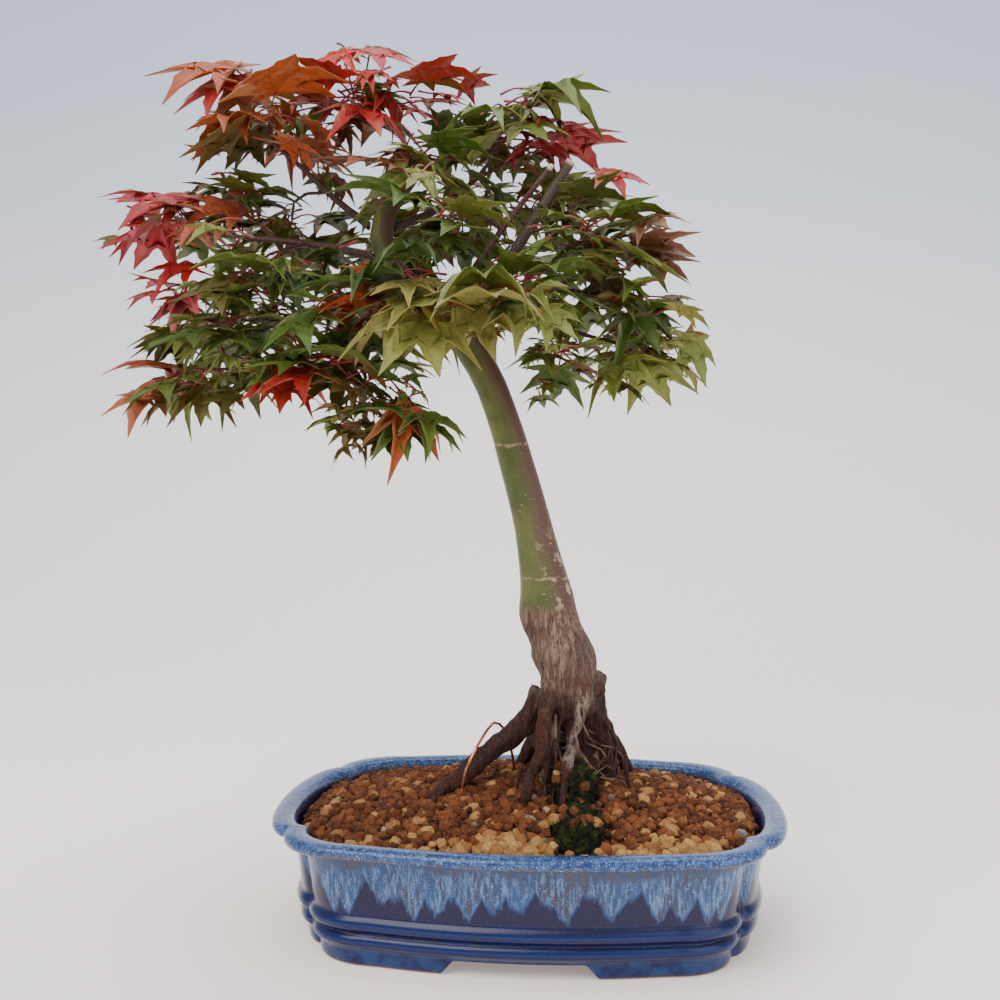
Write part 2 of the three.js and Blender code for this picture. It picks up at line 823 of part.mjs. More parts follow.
// Leaves turn first where they get the most light, at the crown's edge and top.
function leafColour(twig) {
  const [x, y, z] = twig.to.map((at, i) => at - CROWN_MIDDLE[i]);
  const light = Math.hypot(x / 105, y / 120) + Math.max(z, 0) / 150;
  return LEAF_COLOURS[Math.min(LEAF_COLOURS.length - 1, Math.floor(light * 2.6))];
}

function build() {
  const group = new THREE.Group();
  const wood = trunk();
  const woodZone = trunk(GAP);
  group.add(mesh("pot", pot(), COLOURS.glaze, 0.25));
  for (const [side, word] of [[-1, "left"], [1, "right"]]) {
    group.add(mesh("drain_screen_" + word, drainScreen(side), COLOURS.screen, 0.6));
    group.add(mesh("screen_clip_" + word, screenClip(side), COLOURS.steel, 0.4, 1));
  }
  group.add(mesh("soil", soil(woodZone), COLOURS.soil, 0.95));
  group.add(mesh("moss_clump", mossClump(woodZone), COLOURS.moss, 0.95));
  group.add(mesh("trunk_and_roots", wood, COLOURS.bark, 0.7));
  group.add(mesh("tie_wire", tieWire(), COLOURS.copper, 0.3, 1));
  group.add(mesh("soil_pin", soilPin(), COLOURS.copper, 0.3, 1));

  const placed = [wood];
  const cuts = [woodZone];
  for (const plan of BRANCHES) {
    const shape = largest(cuts.reduce((left, cut) => left.subtract(cut), branch(plan)));
    cuts.push(branch(plan, GAP));
    placed.push(shape);
    group.add(mesh("branch_" + plan.name, shape, COLOURS.twig, 0.6));
  }
  const twigs = BRANCHES.flatMap((plan) =>
    plan.twigs.map((twig, i) => ({ ...twig, name: `leaves_${plan.name}_${i + 1}` })),
  );
  const budRooms = twigs.map((twig) => bud(twig, GAP));
  twigs.forEach((twig, i) => {
    const others = [...placed, ...budRooms.filter((_, other) => other !== i)];
    const shape = leafCluster(twig, 11 + 97 * i, others);
    placed.push(shape);
    group.add(mesh(twig.name, shape, leafColour(twig), 0.5));
  });
  return group;
}

const bonsai = build();
const extent = new THREE.Box3().setFromObject(bonsai);
const middle = extent.getCenter(new THREE.Vector3());
bonsai.position.set(-middle.x, -middle.y, -extent.min.z);

export default bonsai;
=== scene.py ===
"""A maple bonsai in its glazed pot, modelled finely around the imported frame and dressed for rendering.

Every length is in metres on the frame's axes: +X along the pot, -Y to the front and +Z up. Each class
builds one sub-assembly and dresses it with its finishes; main() calls them in order.
"""

from __future__ import annotations

import sys

import logging
import math
from collections.abc import Sequence
from dataclasses import dataclass
from enum import Enum

import bpy
import numpy as np
from mathutils import Matrix, Vector, noise
from mathutils.bvhtree import BVHTree


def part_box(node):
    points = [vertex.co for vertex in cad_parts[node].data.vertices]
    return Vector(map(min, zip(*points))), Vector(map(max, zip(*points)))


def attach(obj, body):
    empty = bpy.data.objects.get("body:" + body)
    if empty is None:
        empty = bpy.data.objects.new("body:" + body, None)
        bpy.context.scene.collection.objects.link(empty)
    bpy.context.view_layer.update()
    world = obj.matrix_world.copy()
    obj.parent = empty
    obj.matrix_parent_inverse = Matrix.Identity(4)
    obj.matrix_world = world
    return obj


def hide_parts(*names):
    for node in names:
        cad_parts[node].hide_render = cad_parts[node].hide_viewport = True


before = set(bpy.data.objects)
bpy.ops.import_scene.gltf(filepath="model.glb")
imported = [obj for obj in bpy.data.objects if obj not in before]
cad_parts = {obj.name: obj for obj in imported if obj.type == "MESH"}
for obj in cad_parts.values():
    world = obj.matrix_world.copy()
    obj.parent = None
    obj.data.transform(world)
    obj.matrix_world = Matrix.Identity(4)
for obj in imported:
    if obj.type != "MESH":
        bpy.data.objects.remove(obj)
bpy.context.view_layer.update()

MM = 0.001
UP = Vector((0.0, 0.0, 1.0))
POT_LOW, POT_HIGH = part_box("pot")
POT_MIDDLE = Vector(((POT_LOW.x + POT_HIGH.x) / 2, (POT_LOW.y + POT_HIGH.y) / 2, 0.0))

Colour = tuple[float, float, float]
Socket = bpy.types.NodeSocket
Piece = bpy.types.Object

log = logging.getLogger("bonsai")


def rgb(code: str) -> Colour:
    """The linear colour of a six-figure hexadecimal screen colour.

    Args:
        code: The colour as six hexadecimal figures.

    Returns:
        The colour as linear red, green, blue and alpha.
    """
    parts = [int(code[i : i + 2], 16) / 255 for i in (0, 2, 4)]
    red, green, blue = (p / 12.92 if p <= 0.04045 else ((p + 0.055) / 1.055) ** 2.4 for p in parts)
    return red, green, blue


# ---- Mesh tools --------------------------------------------------------------------------------


def deselect() -> None:
    """Leaves edit mode and deselects everything, because an operator acts on all that is selected."""
    if bpy.context.mode != "OBJECT":
        bpy.ops.object.mode_set(mode="OBJECT")
    bpy.ops.object.select_all(action="DESELECT")


def pick(*pieces: Piece) -> None:
    """Selects only these pieces and makes the first one active.

    Args:
        pieces: The pieces to select, the active one first.
    """
    deselect()
    for piece in pieces:
        piece.select_set(True)
    bpy.context.view_layer.objects.active = pieces[0]


def added(name: str) -> Piece:
    """Names the object that an operator has just added, and returns it.

    Args:
        name: The piece's new name.

    Returns:
        The new piece.
    """
    piece = bpy.context.active_object
    piece.name = name
    piece.data.name = name
    return piece


def work(piece: Piece, kind: str, **settings: object) -> None:
    """Adds one modifier and applies it.

    Args:
        piece: The mesh object to change.
        kind: Blender's name of the modifier's type.
        **settings: The modifier's own settings.
    """
    pick(piece)
    modifier = piece.modifiers.new(kind.lower(), kind)
    for key, value in settings.items():
        setattr(modifier, key, value)
    bpy.ops.object.modifier_apply(modifier=modifier.name)


def select_vertices(piece: Piece, wanted: Sequence[bool]) -> None:
    """Selects a piece's vertices, and the edges and faces that lie between them, in edit mode.

    Args:
        piece: The mesh object, which becomes active and enters edit mode.
        wanted: One truth value for each vertex.
    """
    pick(piece)
    mesh = piece.data
    for edge in mesh.edges:
        edge.select = all(wanted[v] for v in edge.vertices)
    for face in mesh.polygons:
        face.select = all(wanted[v] for v in face.vertices)
    for vertex, chosen in zip(mesh.vertices, wanted):
        vertex.select = bool(chosen)
    bpy.ops.object.mode_set(mode="EDIT")


def points_of(piece: Piece) -> np.ndarray:
    """A piece's vertices as an array of x, y, z rows.

    Args:
        piece: The piece to read.

    Returns:
        One row for each vertex, in metres.
    """
    flat = np.empty(len(piece.data.vertices) * 3, np.float32)
    piece.data.vertices.foreach_get("co", flat)
    return flat.reshape(-1, 3).astype(float)


def move_points(piece: Piece, points: np.ndarray) -> None:
    """Puts a piece's vertices where the rows of an array say."""
    piece.data.vertices.foreach_set("co", points.astype(np.float32).ravel())
    piece.data.update()


def normals_of(piece: Piece) -> np.ndarray:
    """A piece's vertex normals as an array of rows.

    Args:
        piece: The piece to read.

    Returns:
        One row for each vertex, of length one.
    """
    flat = np.empty(len(piece.data.vertices) * 3, np.float32)
    piece.data.vertex_normals.foreach_get("vector", flat)
    return flat.reshape(-1, 3).astype(float)


def mark(piece: Piece, name: str, values: np.ndarray) -> None:
    """Stores one number for each vertex, for a material to read."""
    layer = piece.data.attributes.get(name) or piece.data.attributes.new(name, "FLOAT", "POINT")
    layer.data.foreach_set("value", np.asarray(values, np.float32))


def marked(piece: Piece, name: str) -> np.ndarray:
    """The numbers that mark() stored.

    Args:
        piece: The marked piece.
        name: The mark's name.

    Returns:
        One number for each vertex.
    """
    values = np.empty(len(piece.data.vertices), np.float32)
    piece.data.attributes[name].data.foreach_get("value", values)
    return values.astype(float)


def copy_of_node(node: str, name: str) -> Piece:
    """A new piece with a CAD node's mesh, its loose triangles merged into one closed skin.

    Args:
        node: The CAD node to copy.
        name: The new piece's name.

    Returns:
        The merged copy.
    """
    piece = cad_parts[node].copy()
    piece.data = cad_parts[node].data.copy()
    piece.name = name
    for key in list(piece.keys()):
        del piece[key]
    piece.parent = None
    piece.data.materials.clear()
    bpy.context.scene.collection.objects.link(piece)
    select_vertices(piece, [True] * len(piece.data.vertices))
    bpy.ops.mesh.remove_doubles(threshold=0.002 * MM)
    deselect()
    return piece


def tubes(
    name: str,
    routes: Sequence[Sequence[Vector]],
    radii: Sequence[Sequence[float]],
    sides: int = 1,
) -> Piece:
    """Round tapered strands swept along smooth curves, with closed ends, as one mesh.

    Args:
        name: The new piece's name.
        routes: For each strand, the points that it runs through.
        radii: For each strand, its radius at each of those points.
        sides: The bevel resolution: more makes a rounder strand.

    Returns:
        The new mesh piece.
    """
    curve = bpy.data.curves.new(name, "CURVE")
    curve.dimensions = "3D"
    curve.bevel_depth = 1.0
    curve.bevel_resolution = sides
    curve.resolution_u = 3
    curve.use_fill_caps = True
    for route, sizes in zip(routes, radii):
        spline = curve.splines.new("BEZIER")
        spline.bezier_points.add(len(route) - 1)
        for knot, place, radius in zip(spline.bezier_points, route, sizes):
            knot.co = place
            knot.radius = radius
            knot.handle_left_type = "AUTO"
            knot.handle_right_type = "AUTO"
    piece = bpy.data.objects.new(name, curve)
    bpy.context.scene.collection.objects.link(piece)
    pick(piece)
    bpy.ops.object.convert(target="MESH")
    return bpy.context.active_object


def joined(pieces: Sequence[Piece]) -> Piece:
    """Joins pieces into the first one.

    Args:
        pieces: The pieces, of which the first stays.

    Returns:
        The first piece, with the others in its mesh.
    """
    pick(*pieces)
    bpy.ops.object.join()
    return pieces[0]


def smooth(piece: Piece, angle: float = math.pi) -> None:
    """Shades a piece smooth, with a crease where faces meet at more than an angle."""
    pick(piece)
    if angle >= math.pi:
        bpy.ops.object.shade_smooth()
    else:
        bpy.ops.object.shade_smooth_by_angle(angle=angle)


def settle(piece: Piece, slot: str, *replaced: str) -> None:
    """Gives a finished piece to the frame.

    Args:
        piece: The finished mesh object.
        slot: The record's material slot for the piece; not used.
        *replaced: The CAD nodes that it stands for.
    """
    deselect()
    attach(piece, "root")
    if replaced:
        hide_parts(*replaced)
    log.info("%s: %d faces", piece.name, len(piece.data.polygons))


# ---- Shader tools ------------------------------------------------------------------------------


class Shader:
    """A material's node tree, built a node at a time in front of its Principled BSDF."""

    def __init__(self, name: str) -> None:
        """Starts a material whose patterns lie on Object coordinates.

        Args:
            name: The material's name.
        """
        self.material = bpy.data.materials.new(name)
        self.material.use_nodes = True
        self.tree = self.material.node_tree
        self.surface = self.tree.nodes["Principled BSDF"]
        self.place: Socket = self.tree.nodes.new("ShaderNodeTexCoord").outputs["Object"]

    def feed(self, socket: Socket, value: object) -> None:
        """Links a socket to another, or sets its own value."""
        if isinstance(value, Socket):
            self.tree.links.new(value, socket)
        elif isinstance(value, tuple) and len(value) == 3 and socket.type == "RGBA":
            socket.default_value = (*value, 1.0)
        else:
            socket.default_value = value

    def node(self, kind: str, inputs: dict[str | int, object], **settings: object) -> bpy.types.Node:
        """Adds a node.

        Args:
            kind: The node's type, without the word ShaderNode.
            inputs: Values or sockets for the node's inputs, by name or place.
            **settings: The node's own settings.

        Returns:
            The new node.
        """
        made = self.tree.nodes.new("ShaderNode" + kind)
        for key, value in settings.items():
            setattr(made, key, value)
        for key, value in inputs.items():
            self.feed(made.inputs[key], value)
        return made

    def stretched(self, scale: Sequence[float], vector: Socket | None = None) -> Socket:
        """The place, measured from the pot's middle and scaled differently along each axis.

        Args:
            scale: How much each axis is scaled by.
            vector: The place to start from, or nothing for the surface's own.

        Returns:
            The scaled place.
        """
        shift = self.node("VectorMath", {0: vector or self.place, 1: tuple(-POT_MIDDLE)}, operation="ADD")
        sizes = {0: shift.outputs[0], 1: tuple(scale)}
        return self.node("VectorMath", sizes, operation="MULTIPLY").outputs[0]

    def cloud(
        self, scale: float, vector: Socket | None = None, detail: float = 4.0, rough: float = 0.55
    ) -> Socket:
        """Fractal noise from 0 to 1."""
        inputs = {"Vector": vector or self.place, "Scale": scale, "Detail": detail, "Roughness": rough}
        return self.node("TexNoise", inputs).outputs[0]

    def cells(self, scale: float, vector: Socket | None = None, feature: str = "F1") -> bpy.types.Node:
        """A Voronoi pattern."""
        inputs = {"Vector": vector or self.place, "Scale": scale}
        return self.node("TexVoronoi", inputs, feature=feature)

    def ramp(self, factor: Socket, stops: Sequence[tuple[float, Colour]]) -> Socket:
        """A colour that runs through stops of (place, colour) as the factor goes from 0 to 1.

        Args:
            factor: What moves through the stops.
            stops: Each stop's place and colour.

        Returns:
            The colour.
        """
        made = self.node("ValToRGB", {0: factor})
        band = made.color_ramp
        while len(band.elements) < len(stops):
            band.elements.new(0.5)
        for element, (place, colour) in zip(band.elements, stops):
            element.position = place
            element.color = (*colour, 1.0)
        return made.outputs[0]

    def mix(self, factor: object, first: object, second: object, blend: str = "MIX") -> Socket:
        """Two colours mixed by a factor.

        Args:
            factor: How much of the second colour shows.
            first: The colour at 0.
            second: The colour at 1.
            blend: How the second is laid over the first.

        Returns:
            The colour.
        """
        made = self.node("Mix", {}, data_type="RGBA", blend_type=blend)
        for place, value in ((0, factor), (6, first), (7, second)):
            self.feed(made.inputs[place], value)
        return made.outputs[2]

    def calc(self, operation: str, *values: object) -> Socket:
        """One step of arithmetic."""
        return self.node("Math", dict(enumerate(values)), operation=operation).outputs[0]

    def rise(self, value: Socket, low: float, high: float) -> Socket:
        """0 below low, 1 above high and smooth between; low may be the greater."""
        inputs = {"Value": value, "From Min": low, "From Max": high}
        return self.node("MapRange", inputs, interpolation_type="SMOOTHSTEP").outputs[0]

    def read(self, name: str) -> bpy.types.Node:
        """The node that reads one of the piece's own attributes."""
        return self.node("Attribute", {}, attribute_name=name)

    def axis(self, index: int, vector: Socket | None = None) -> Socket:
        """One of x, y and z of a vector, by default the place's."""
        return self.node("SeparateXYZ", {0: vector or self.place}).outputs[index]

    def relief(self, height: Socket, depth: float, strength: float = 1.0) -> None:
        """Raises and sinks the surface by bump mapping.

        Args:
            height: The pattern that rises.
            depth: How high it rises, in metres.
            strength: How much of that shows.
        """
        inputs = {"Height": height, "Distance": depth, "Strength": strength}
        bump = self.node("Bump", inputs)
        self.feed(self.surface.inputs["Normal"], bump.outputs[0])

    def done(self, **inputs: object) -> bpy.types.Material:
        """Sets the surface's inputs, with _ for a space in their names, and returns the material."""
        for key, value in inputs.items():
            self.feed(self.surface.inputs[key.replace("_", " ")], value)
        return self.material


# ---- The pot -----------------------------------------------------------------------------------


@dataclass(frozen=True)
class Glaze:
    """Running blue glaze over brown stoneware, whose runs end in pointed drips."""

    rim: Colour = rgb("1f3666")
    rim_pale: Colour = rgb("446496")
    fleck: Colour = rgb("4a3e42")
    run: Colour = rgb("284678")
    run_pale: Colour = rgb("6480a8")
    body: Colour = rgb("17143a")
    neck: Colour = rgb("4b4a52")
    belt: Colour = rgb("06154a")
    foot: Colour = rgb("1d3766")
    frost: Colour = rgb("b9d0ea")
    clay: Colour = rgb("6b3a28")
    drip_width: float = 12 * MM
    drip_length: float = 9.5 * MM
    run_end: float = 28.5 * MM
    neck_height: float = 49 * MM
    belt_top: float = 24 * MM
    foot_top: float = 8.5 * MM

    def material(self) -> bpy.types.Material:
        """Builds the glaze, from the rim down to the bare clay of the feet.

        Returns:
            The finished material.
        """
        s = Shader("blue_running_glaze")
        around = s.axis(0, s.node("UVMap", {}, uv_map="around_and_down").outputs[0])
        height = s.axis(2)
        streaks = s.cloud(1.0, s.stretched((620, 620, 60)), detail=6, rough=0.7)
        broad = s.cloud(1.0, s.stretched((70, 70, 26)), detail=3)
        speckle = s.cloud(1500, detail=3, rough=0.7)

        step = s.calc("DIVIDE", around, self.drip_width)
        line = s.node("CombineXYZ", {0: step, 1: 0.5, 2: 0.0}).outputs[0]
        drip = s.node("TexVoronoi", {"Vector": line, "Scale": 1.0}, voronoi_dimensions="2D").outputs[0]
        point = s.calc("MULTIPLY", s.calc("SUBTRACT", drip, 0.28), self.drip_length * 2.4)
        ragged = s.calc("MULTIPLY", s.calc("SUBTRACT", streaks, 0.5), 14 * MM)
        edge = s.calc("ADD", s.calc("ADD", point, ragged), self.run_end)
        above = s.calc("SUBTRACT", height, edge)

        runs = s.mix(s.rise(streaks, 0.44, 0.64), self.run, self.run_pale)
        bare_runs = s.calc("MULTIPLY", s.rise(broad, 0.44, 0.6), s.rise(streaks, 0.56, 0.42))
        runs = s.mix(bare_runs, runs, s.mix(0.35, self.neck, self.body))
        runs = s.mix(s.rise(speckle, 0.62, 0.7), runs, self.frost)
        wall = s.mix(s.rise(above, -0.6 * MM, 1.2 * MM), self.body, runs)
        edge_line = s.calc("MULTIPLY", s.rise(above, -1.5 * MM, 0.0), s.rise(above, 2.5 * MM, 0.0))
        wall = s.mix(s.calc("MULTIPLY", edge_line, 0.5), wall, self.run)
        neck = s.mix(s.rise(streaks, 0.42, 0.62), self.neck, self.run)
        worn_neck = s.calc("MULTIPLY", s.calc("SUBTRACT", s.cloud(60), 0.46), 26 * MM)
        level = s.calc("ADD", height, worn_neck)
        wall = s.mix(s.rise(level, self.neck_height - 6 * MM, self.neck_height), wall, neck)
        belts = s.mix(s.rise(broad, 0.35, 0.7), self.belt, self.body)
        crests = s.calc("SINE", s.calc("MULTIPLY", s.calc("SUBTRACT", height, 3 * MM), 6.283 / (7.5 * MM)))
        belts = s.mix(s.calc("MULTIPLY", s.rise(crests, 0.1, 0.9), 0.6), belts, rgb("08225e"))
        wall = s.mix(s.rise(height, self.belt_top - 2 * MM, self.belt_top + 2 * MM), belts, wall)
        foot = s.mix(s.rise(s.cloud(120), 0.35, 0.65), self.foot, self.belt)
        wall = s.mix(s.rise(height, self.foot_top - 1.5 * MM, self.foot_top + MM), foot, wall)

        rim = s.mix(s.rise(s.cloud(420, detail=6, rough=0.7), 0.42, 0.64), self.rim, self.rim_pale)
        underside = s.calc("MULTIPLY", s.rise(height, 53.5 * MM, 51.5 * MM), s.rise(broad, 0.4, 0.55))
        rim = s.mix(underside, rim, self.neck)
        rim = s.mix(s.rise(s.cloud(600, detail=4, rough=0.7), 0.62, 0.7), rim, self.fleck)
        rim = s.mix(s.rise(speckle, 0.6, 0.67), rim, self.frost)
        colour = s.mix(s.rise(height, 50.2 * MM, 51.4 * MM), wall, rim)
        colour = s.mix(s.rise(s.cloud(2100, detail=3), 0.68, 0.74), colour, self.run_pale)

        inside = s.read("inside").outputs["Fac"]
        bare = s.calc("MAXIMUM", s.rise(height, 1.6 * MM, 0.8 * MM), s.rise(inside, 0.55, 0.65))
        colour = s.mix(s.rise(inside, 0.15, 0.4), colour, self.body)
        colour = s.mix(bare, colour, s.mix(s.cloud(260), self.clay, rgb("5d3323")))
        s.relief(s.calc("ADD", streaks, s.calc("MULTIPLY", speckle, 0.4)), 0.25 * MM, 0.35)
        rough = s.calc("MULTIPLY_ADD", bare, 0.55, s.calc("MULTIPLY_ADD", streaks, 0.12, 0.1))
        return s.done(Base_Color=colour, Roughness=rough, Specular_IOR_Level=0.35)


@dataclass
class GlazedPot:
    """The low stoneware pot: lobed in plan, with a rolled rim, two belts and four feet."""

    length: float = POT_HIGH.x - POT_LOW.x
    depth: float = POT_HIGH.y - POT_LOW.y
    height: float = POT_HIGH.z
    notch_in: float = 15 * MM
    notch_y: float = 53.5 * MM
    cusp_x: float = 74 * MM
    long_bulge: float = 8.5 * MM
    lobe_steps: int = 11
    under: float = 7 * MM
    floor_top: float = 13 * MM
    arch_widths: tuple[float, float] = (56 * MM, 40 * MM)
    arch_slope: float = 6 * MM
    drain_radius: float = 9 * MM
    drain_x: float = 55 * MM
    wire_holes: tuple[tuple[float, float], ...] = ((-8 * MM, 16 * MM), (-30 * MM, -27 * MM))

    def outline(self) -> list[tuple[float, float]]:
        """The rim's outline from the middle of the back, so that its seam is out of sight.

        Returns:
            The points (x, y), clockwise seen from above.
        """
        notch_x = self.length / 2 - self.notch_in
        cusp_y = self.depth / 2 - self.long_bulge
        turns = [i / self.lobe_steps for i in range(self.lobe_steps)]
        quarter = [(self.cusp_x * t, cusp_y + self.long_bulge * (1 - t * t)) for t in turns]
        for t in turns:
            angle = (1 - t) * math.pi / 2
            x = self.cusp_x + (notch_x - self.cusp_x) * math.cos(angle)
            quarter.append((x, self.notch_y + (cusp_y - self.notch_y) * math.sin(angle)))
        for t in [*turns, 1.0]:
            angle = (1 - t) * math.pi / 2
            quarter.append((notch_x + self.notch_in * math.cos(angle), self.notch_y * math.sin(angle)))
        half = quarter + [(x, -y) for x, y in reversed(quarter[:-1])]
        return half + [(-x, y) for x, y in reversed(half[1:-1])]

    def profile(self) -> list[tuple[float, float]]:
        """The section as [inset from the rim's edge, height], from under the floor round to its top.

        Returns:
            One pair for each ring, in metres.
        """
        foot = [(26, 7), (26, 1.2), (25.2, 0), (18, 0), (16.7, 0.5), (16.1, 1.6), (15.9, 5), (15.4, 7.6)]
        lower = [(14.6, 8.6), (13.3, 9.6), (12.6, 11), (12.6, 12.4), (13.4, 13.8)]
        lower += [(14.4, 14.6), (14.6, 15.3)]
        upper = [(13.6, 16.1), (11.9, 17.2), (11.0, 18.7), (11.0, 20.3), (11.9, 21.9)]
        upper += [(13, 22.9), (13.2, 24)]
        wall = [(12.7, 26), (12.3, 30), (11.6, 36), (10.4, 43), (9.4, 48), (8.9, 49.6), (7.6, 50.2)]
        rim = [(3.2, 50.3), (1.1, 50.8), (0.1, 52.2), (0, 53.6), (0.8, 55.2), (2.4, 56), (5, 56.1)]
        inner = [(8, 55.8), (9.8, 55), (10.7, 53.4), (11.4, 50.6), (13.2, 46), (15.6, 30)]
        inner += [(17, 15.5), (18.8, 13)]
        section = [*foot, *lower, *upper, *wall, *rim, *inner]
        return [(inset * MM, height * self.height / 56) for inset, height in section]

    def body(self) -> Piece:
        """Draws the outline and extrudes it round the section, ring by ring.

        Returns:
            The pot before its arches and holes are cut.
        """
        outline = self.outline()
        profile = self.profile()
        deselect()
        bpy.ops.mesh.primitive_circle_add(vertices=len(outline), radius=self.depth / 2, fill_type="NGON")
        pot = added("pot_glazed")
        shares = [
            ((self.length / 2 - inset) / (self.length / 2), (self.depth / 2 - inset) / (self.depth / 2))
            for inset, _ in profile
        ]
        first = np.array([(x * shares[0][0], y * shares[0][1], profile[0][1]) for x, y in outline])
        move_points(pot, first)
        steps = np.hypot(*np.diff(np.array([*outline, outline[0]]), axis=0).T)
        mark(pot, "around", np.concatenate([[0.0], np.cumsum(steps)[:-1]]))
        select_vertices(pot, [True] * len(outline))
        for (before, after), (low, high) in zip(zip(shares, shares[1:]), zip(profile, profile[1:])):
            rise = {"value": (0.0, 0.0, high[1] - low[1])}
            bpy.ops.mesh.extrude_region_move(TRANSFORM_OT_translate=rise)
            factors = (after[0] / before[0], after[1] / before[1], 1.0)
            bpy.ops.transform.resize(value=factors, center_override=(0.0, 0.0, high[1]))
        bpy.ops.mesh.select_all(action="SELECT")
        bpy.ops.mesh.normals_make_consistent(inside=False)
        deselect()
        self.map_glaze(pot, len(outline), float(steps.sum()))
        work(pot, "SUBSURF", levels=1, render_levels=1)
        return pot

    def map_glaze(self, pot: Piece, count: int, girth: float) -> None:
        """Stores how far round and how far inside the pot each part of its skin is.

        Args:
            pot: The body, whose vertices come ring by ring.
            count: The number of vertices in a ring.
            girth: The length of the outline.
        """
        mesh = pot.data
        rings = np.arange(len(mesh.vertices)) // count
        section = self.profile()
        top = max(range(len(section)), key=lambda i: section[i][1])
        deepness = [(self.height - z) / (14 * MM) if i > top else 0.0 for i, (_, z) in enumerate(section)]
        underneath = [1.0 if i < 3 else 0.0 for i in range(len(section))]
        hidden = np.maximum(np.array(deepness)[rings], np.array(underneath)[rings])
        mark(pot, "inside", np.clip(hidden, 0, 1))
        around = marked(pot, "around")
        layer = mesh.uv_layers.new(name="around_and_down")
        for face in mesh.polygons:
            places = [around[v] for v in face.vertices]
            wraps = len(places) == 4 and max(places) - min(places) > girth / 2
            for loop, place in zip(face.loop_indices, places):
                passed = wraps and place < girth / 2
                height = mesh.vertices[mesh.loops[loop].vertex_index].co.z
                layer.data[loop].uv = (place + girth * passed, height)

    def arch(self, width: float, turn: float) -> Piece:
        """A bar with sloping sides that cuts the gap between two feet, right across the pot.

        Args:
            width: The gap's width at the ground.
            turn: The bar's direction, in degrees.

        Returns:
            The bar.
        """
        deselect()
        bpy.ops.mesh.primitive_cube_add(size=1.0)
        bar = added("arch_cutter")
        spread = (width + 2 * self.arch_slope) / width
        points = points_of(bar) * (width, 2 * self.length, 2 * self.under)
        points[points[:, 2] < 0, 0] *= 2 * spread - 1
        move_points(bar, points)
        bar.data.transform(Matrix.Rotation(turn, 4, "Z"))
        work(bar, "BEVEL", width=1.2 * MM, segments=3)
        return bar

    def drill(self, x: float, y: float, radius: float) -> Piece:
        """A drill's bit, standing through the floor.

        Args:
            x: The hole's place along the pot.
            y: Its place across the pot.
            radius: The hole's radius.

        Returns:
            The bit.
        """
        deselect()
        bpy.ops.mesh.primitive_cylinder_add(
            vertices=32, radius=radius, depth=2 * self.floor_top, location=(x, y, self.floor_top / 2)
        )
        bpy.ops.object.transform_apply(location=True)
        return added("drill_cutter")

    def build(self) -> Piece:
        """Builds the pot, cuts its arches and holes, and puts it where the frame has it.

        Returns:
            The finished pot.
        """
        pot = self.body()
        front, end = self.arch_widths
        cutters = [self.arch(front, 0.0), self.arch(end, math.pi / 2)]
        cutters += [self.drill(side * self.drain_x, 0.0, self.drain_radius) for side in (-1, 1)]
        cutters += [self.drill(x, y, 2.5 * MM) for x, y in self.wire_holes]
        for cutter in cutters:
            work(pot, "BOOLEAN", operation="DIFFERENCE", object=cutter, solver="EXACT")
            bpy.data.objects.remove(cutter)
        pot.data.transform(Matrix.Translation(POT_MIDDLE))
        smooth(pot, math.radians(38))
        return pot

    def dress(self, pot: Piece) -> None:
        """Glazes the pot and gives it to the frame."""
        pot.data.materials.append(Glaze().material())
        settle(pot, "glazed_stoneware", "pot")


# ---- Soil --------------------------------------------------------------------------------------


class Grain(Enum):
    """The kinds of granule in the soil: name, share of plain size and the two ends of its colours."""

    BROWN = ("brown", 1.0, "5c2f1a", "95572e")
    DARK = ("dark", 0.9, "3c1f12", "6e3a20")
    TAN = ("tan", 1.15, "a8713c", "cf9f62")
    GREY = ("grey", 0.95, "6d675a", "b3a78c")


@dataclass(frozen=True)
class GrainFinish:
    """Rough, dry clay whose colour differs from grain to grain."""

    roughness: float = 0.92

    def material(self) -> bpy.types.Material:
        """Builds the clay from the grains' own tint.

        Returns:
            The finished material.
        """
        s = Shader("clay_granules")
        tint = s.read("tint").outputs["Color"]
        blotch = s.cloud(700, detail=5, rough=0.7)
        colour = s.mix(s.rise(blotch, 0.3, 0.75), s.mix(0.55, tint, rgb("2a160d")), tint)
        dust = s.rise(s.cloud(1600, detail=3), 0.6, 0.72)
        colour = s.mix(s.calc("MULTIPLY", dust, 0.5), colour, rgb("d9a777"))
        s.relief(s.cloud(1500, detail=6, rough=0.75), 0.5 * MM, 0.8)
        return s.done(Base_Color=colour, Roughness=self.roughness, Specular_IOR_Level=0.25)


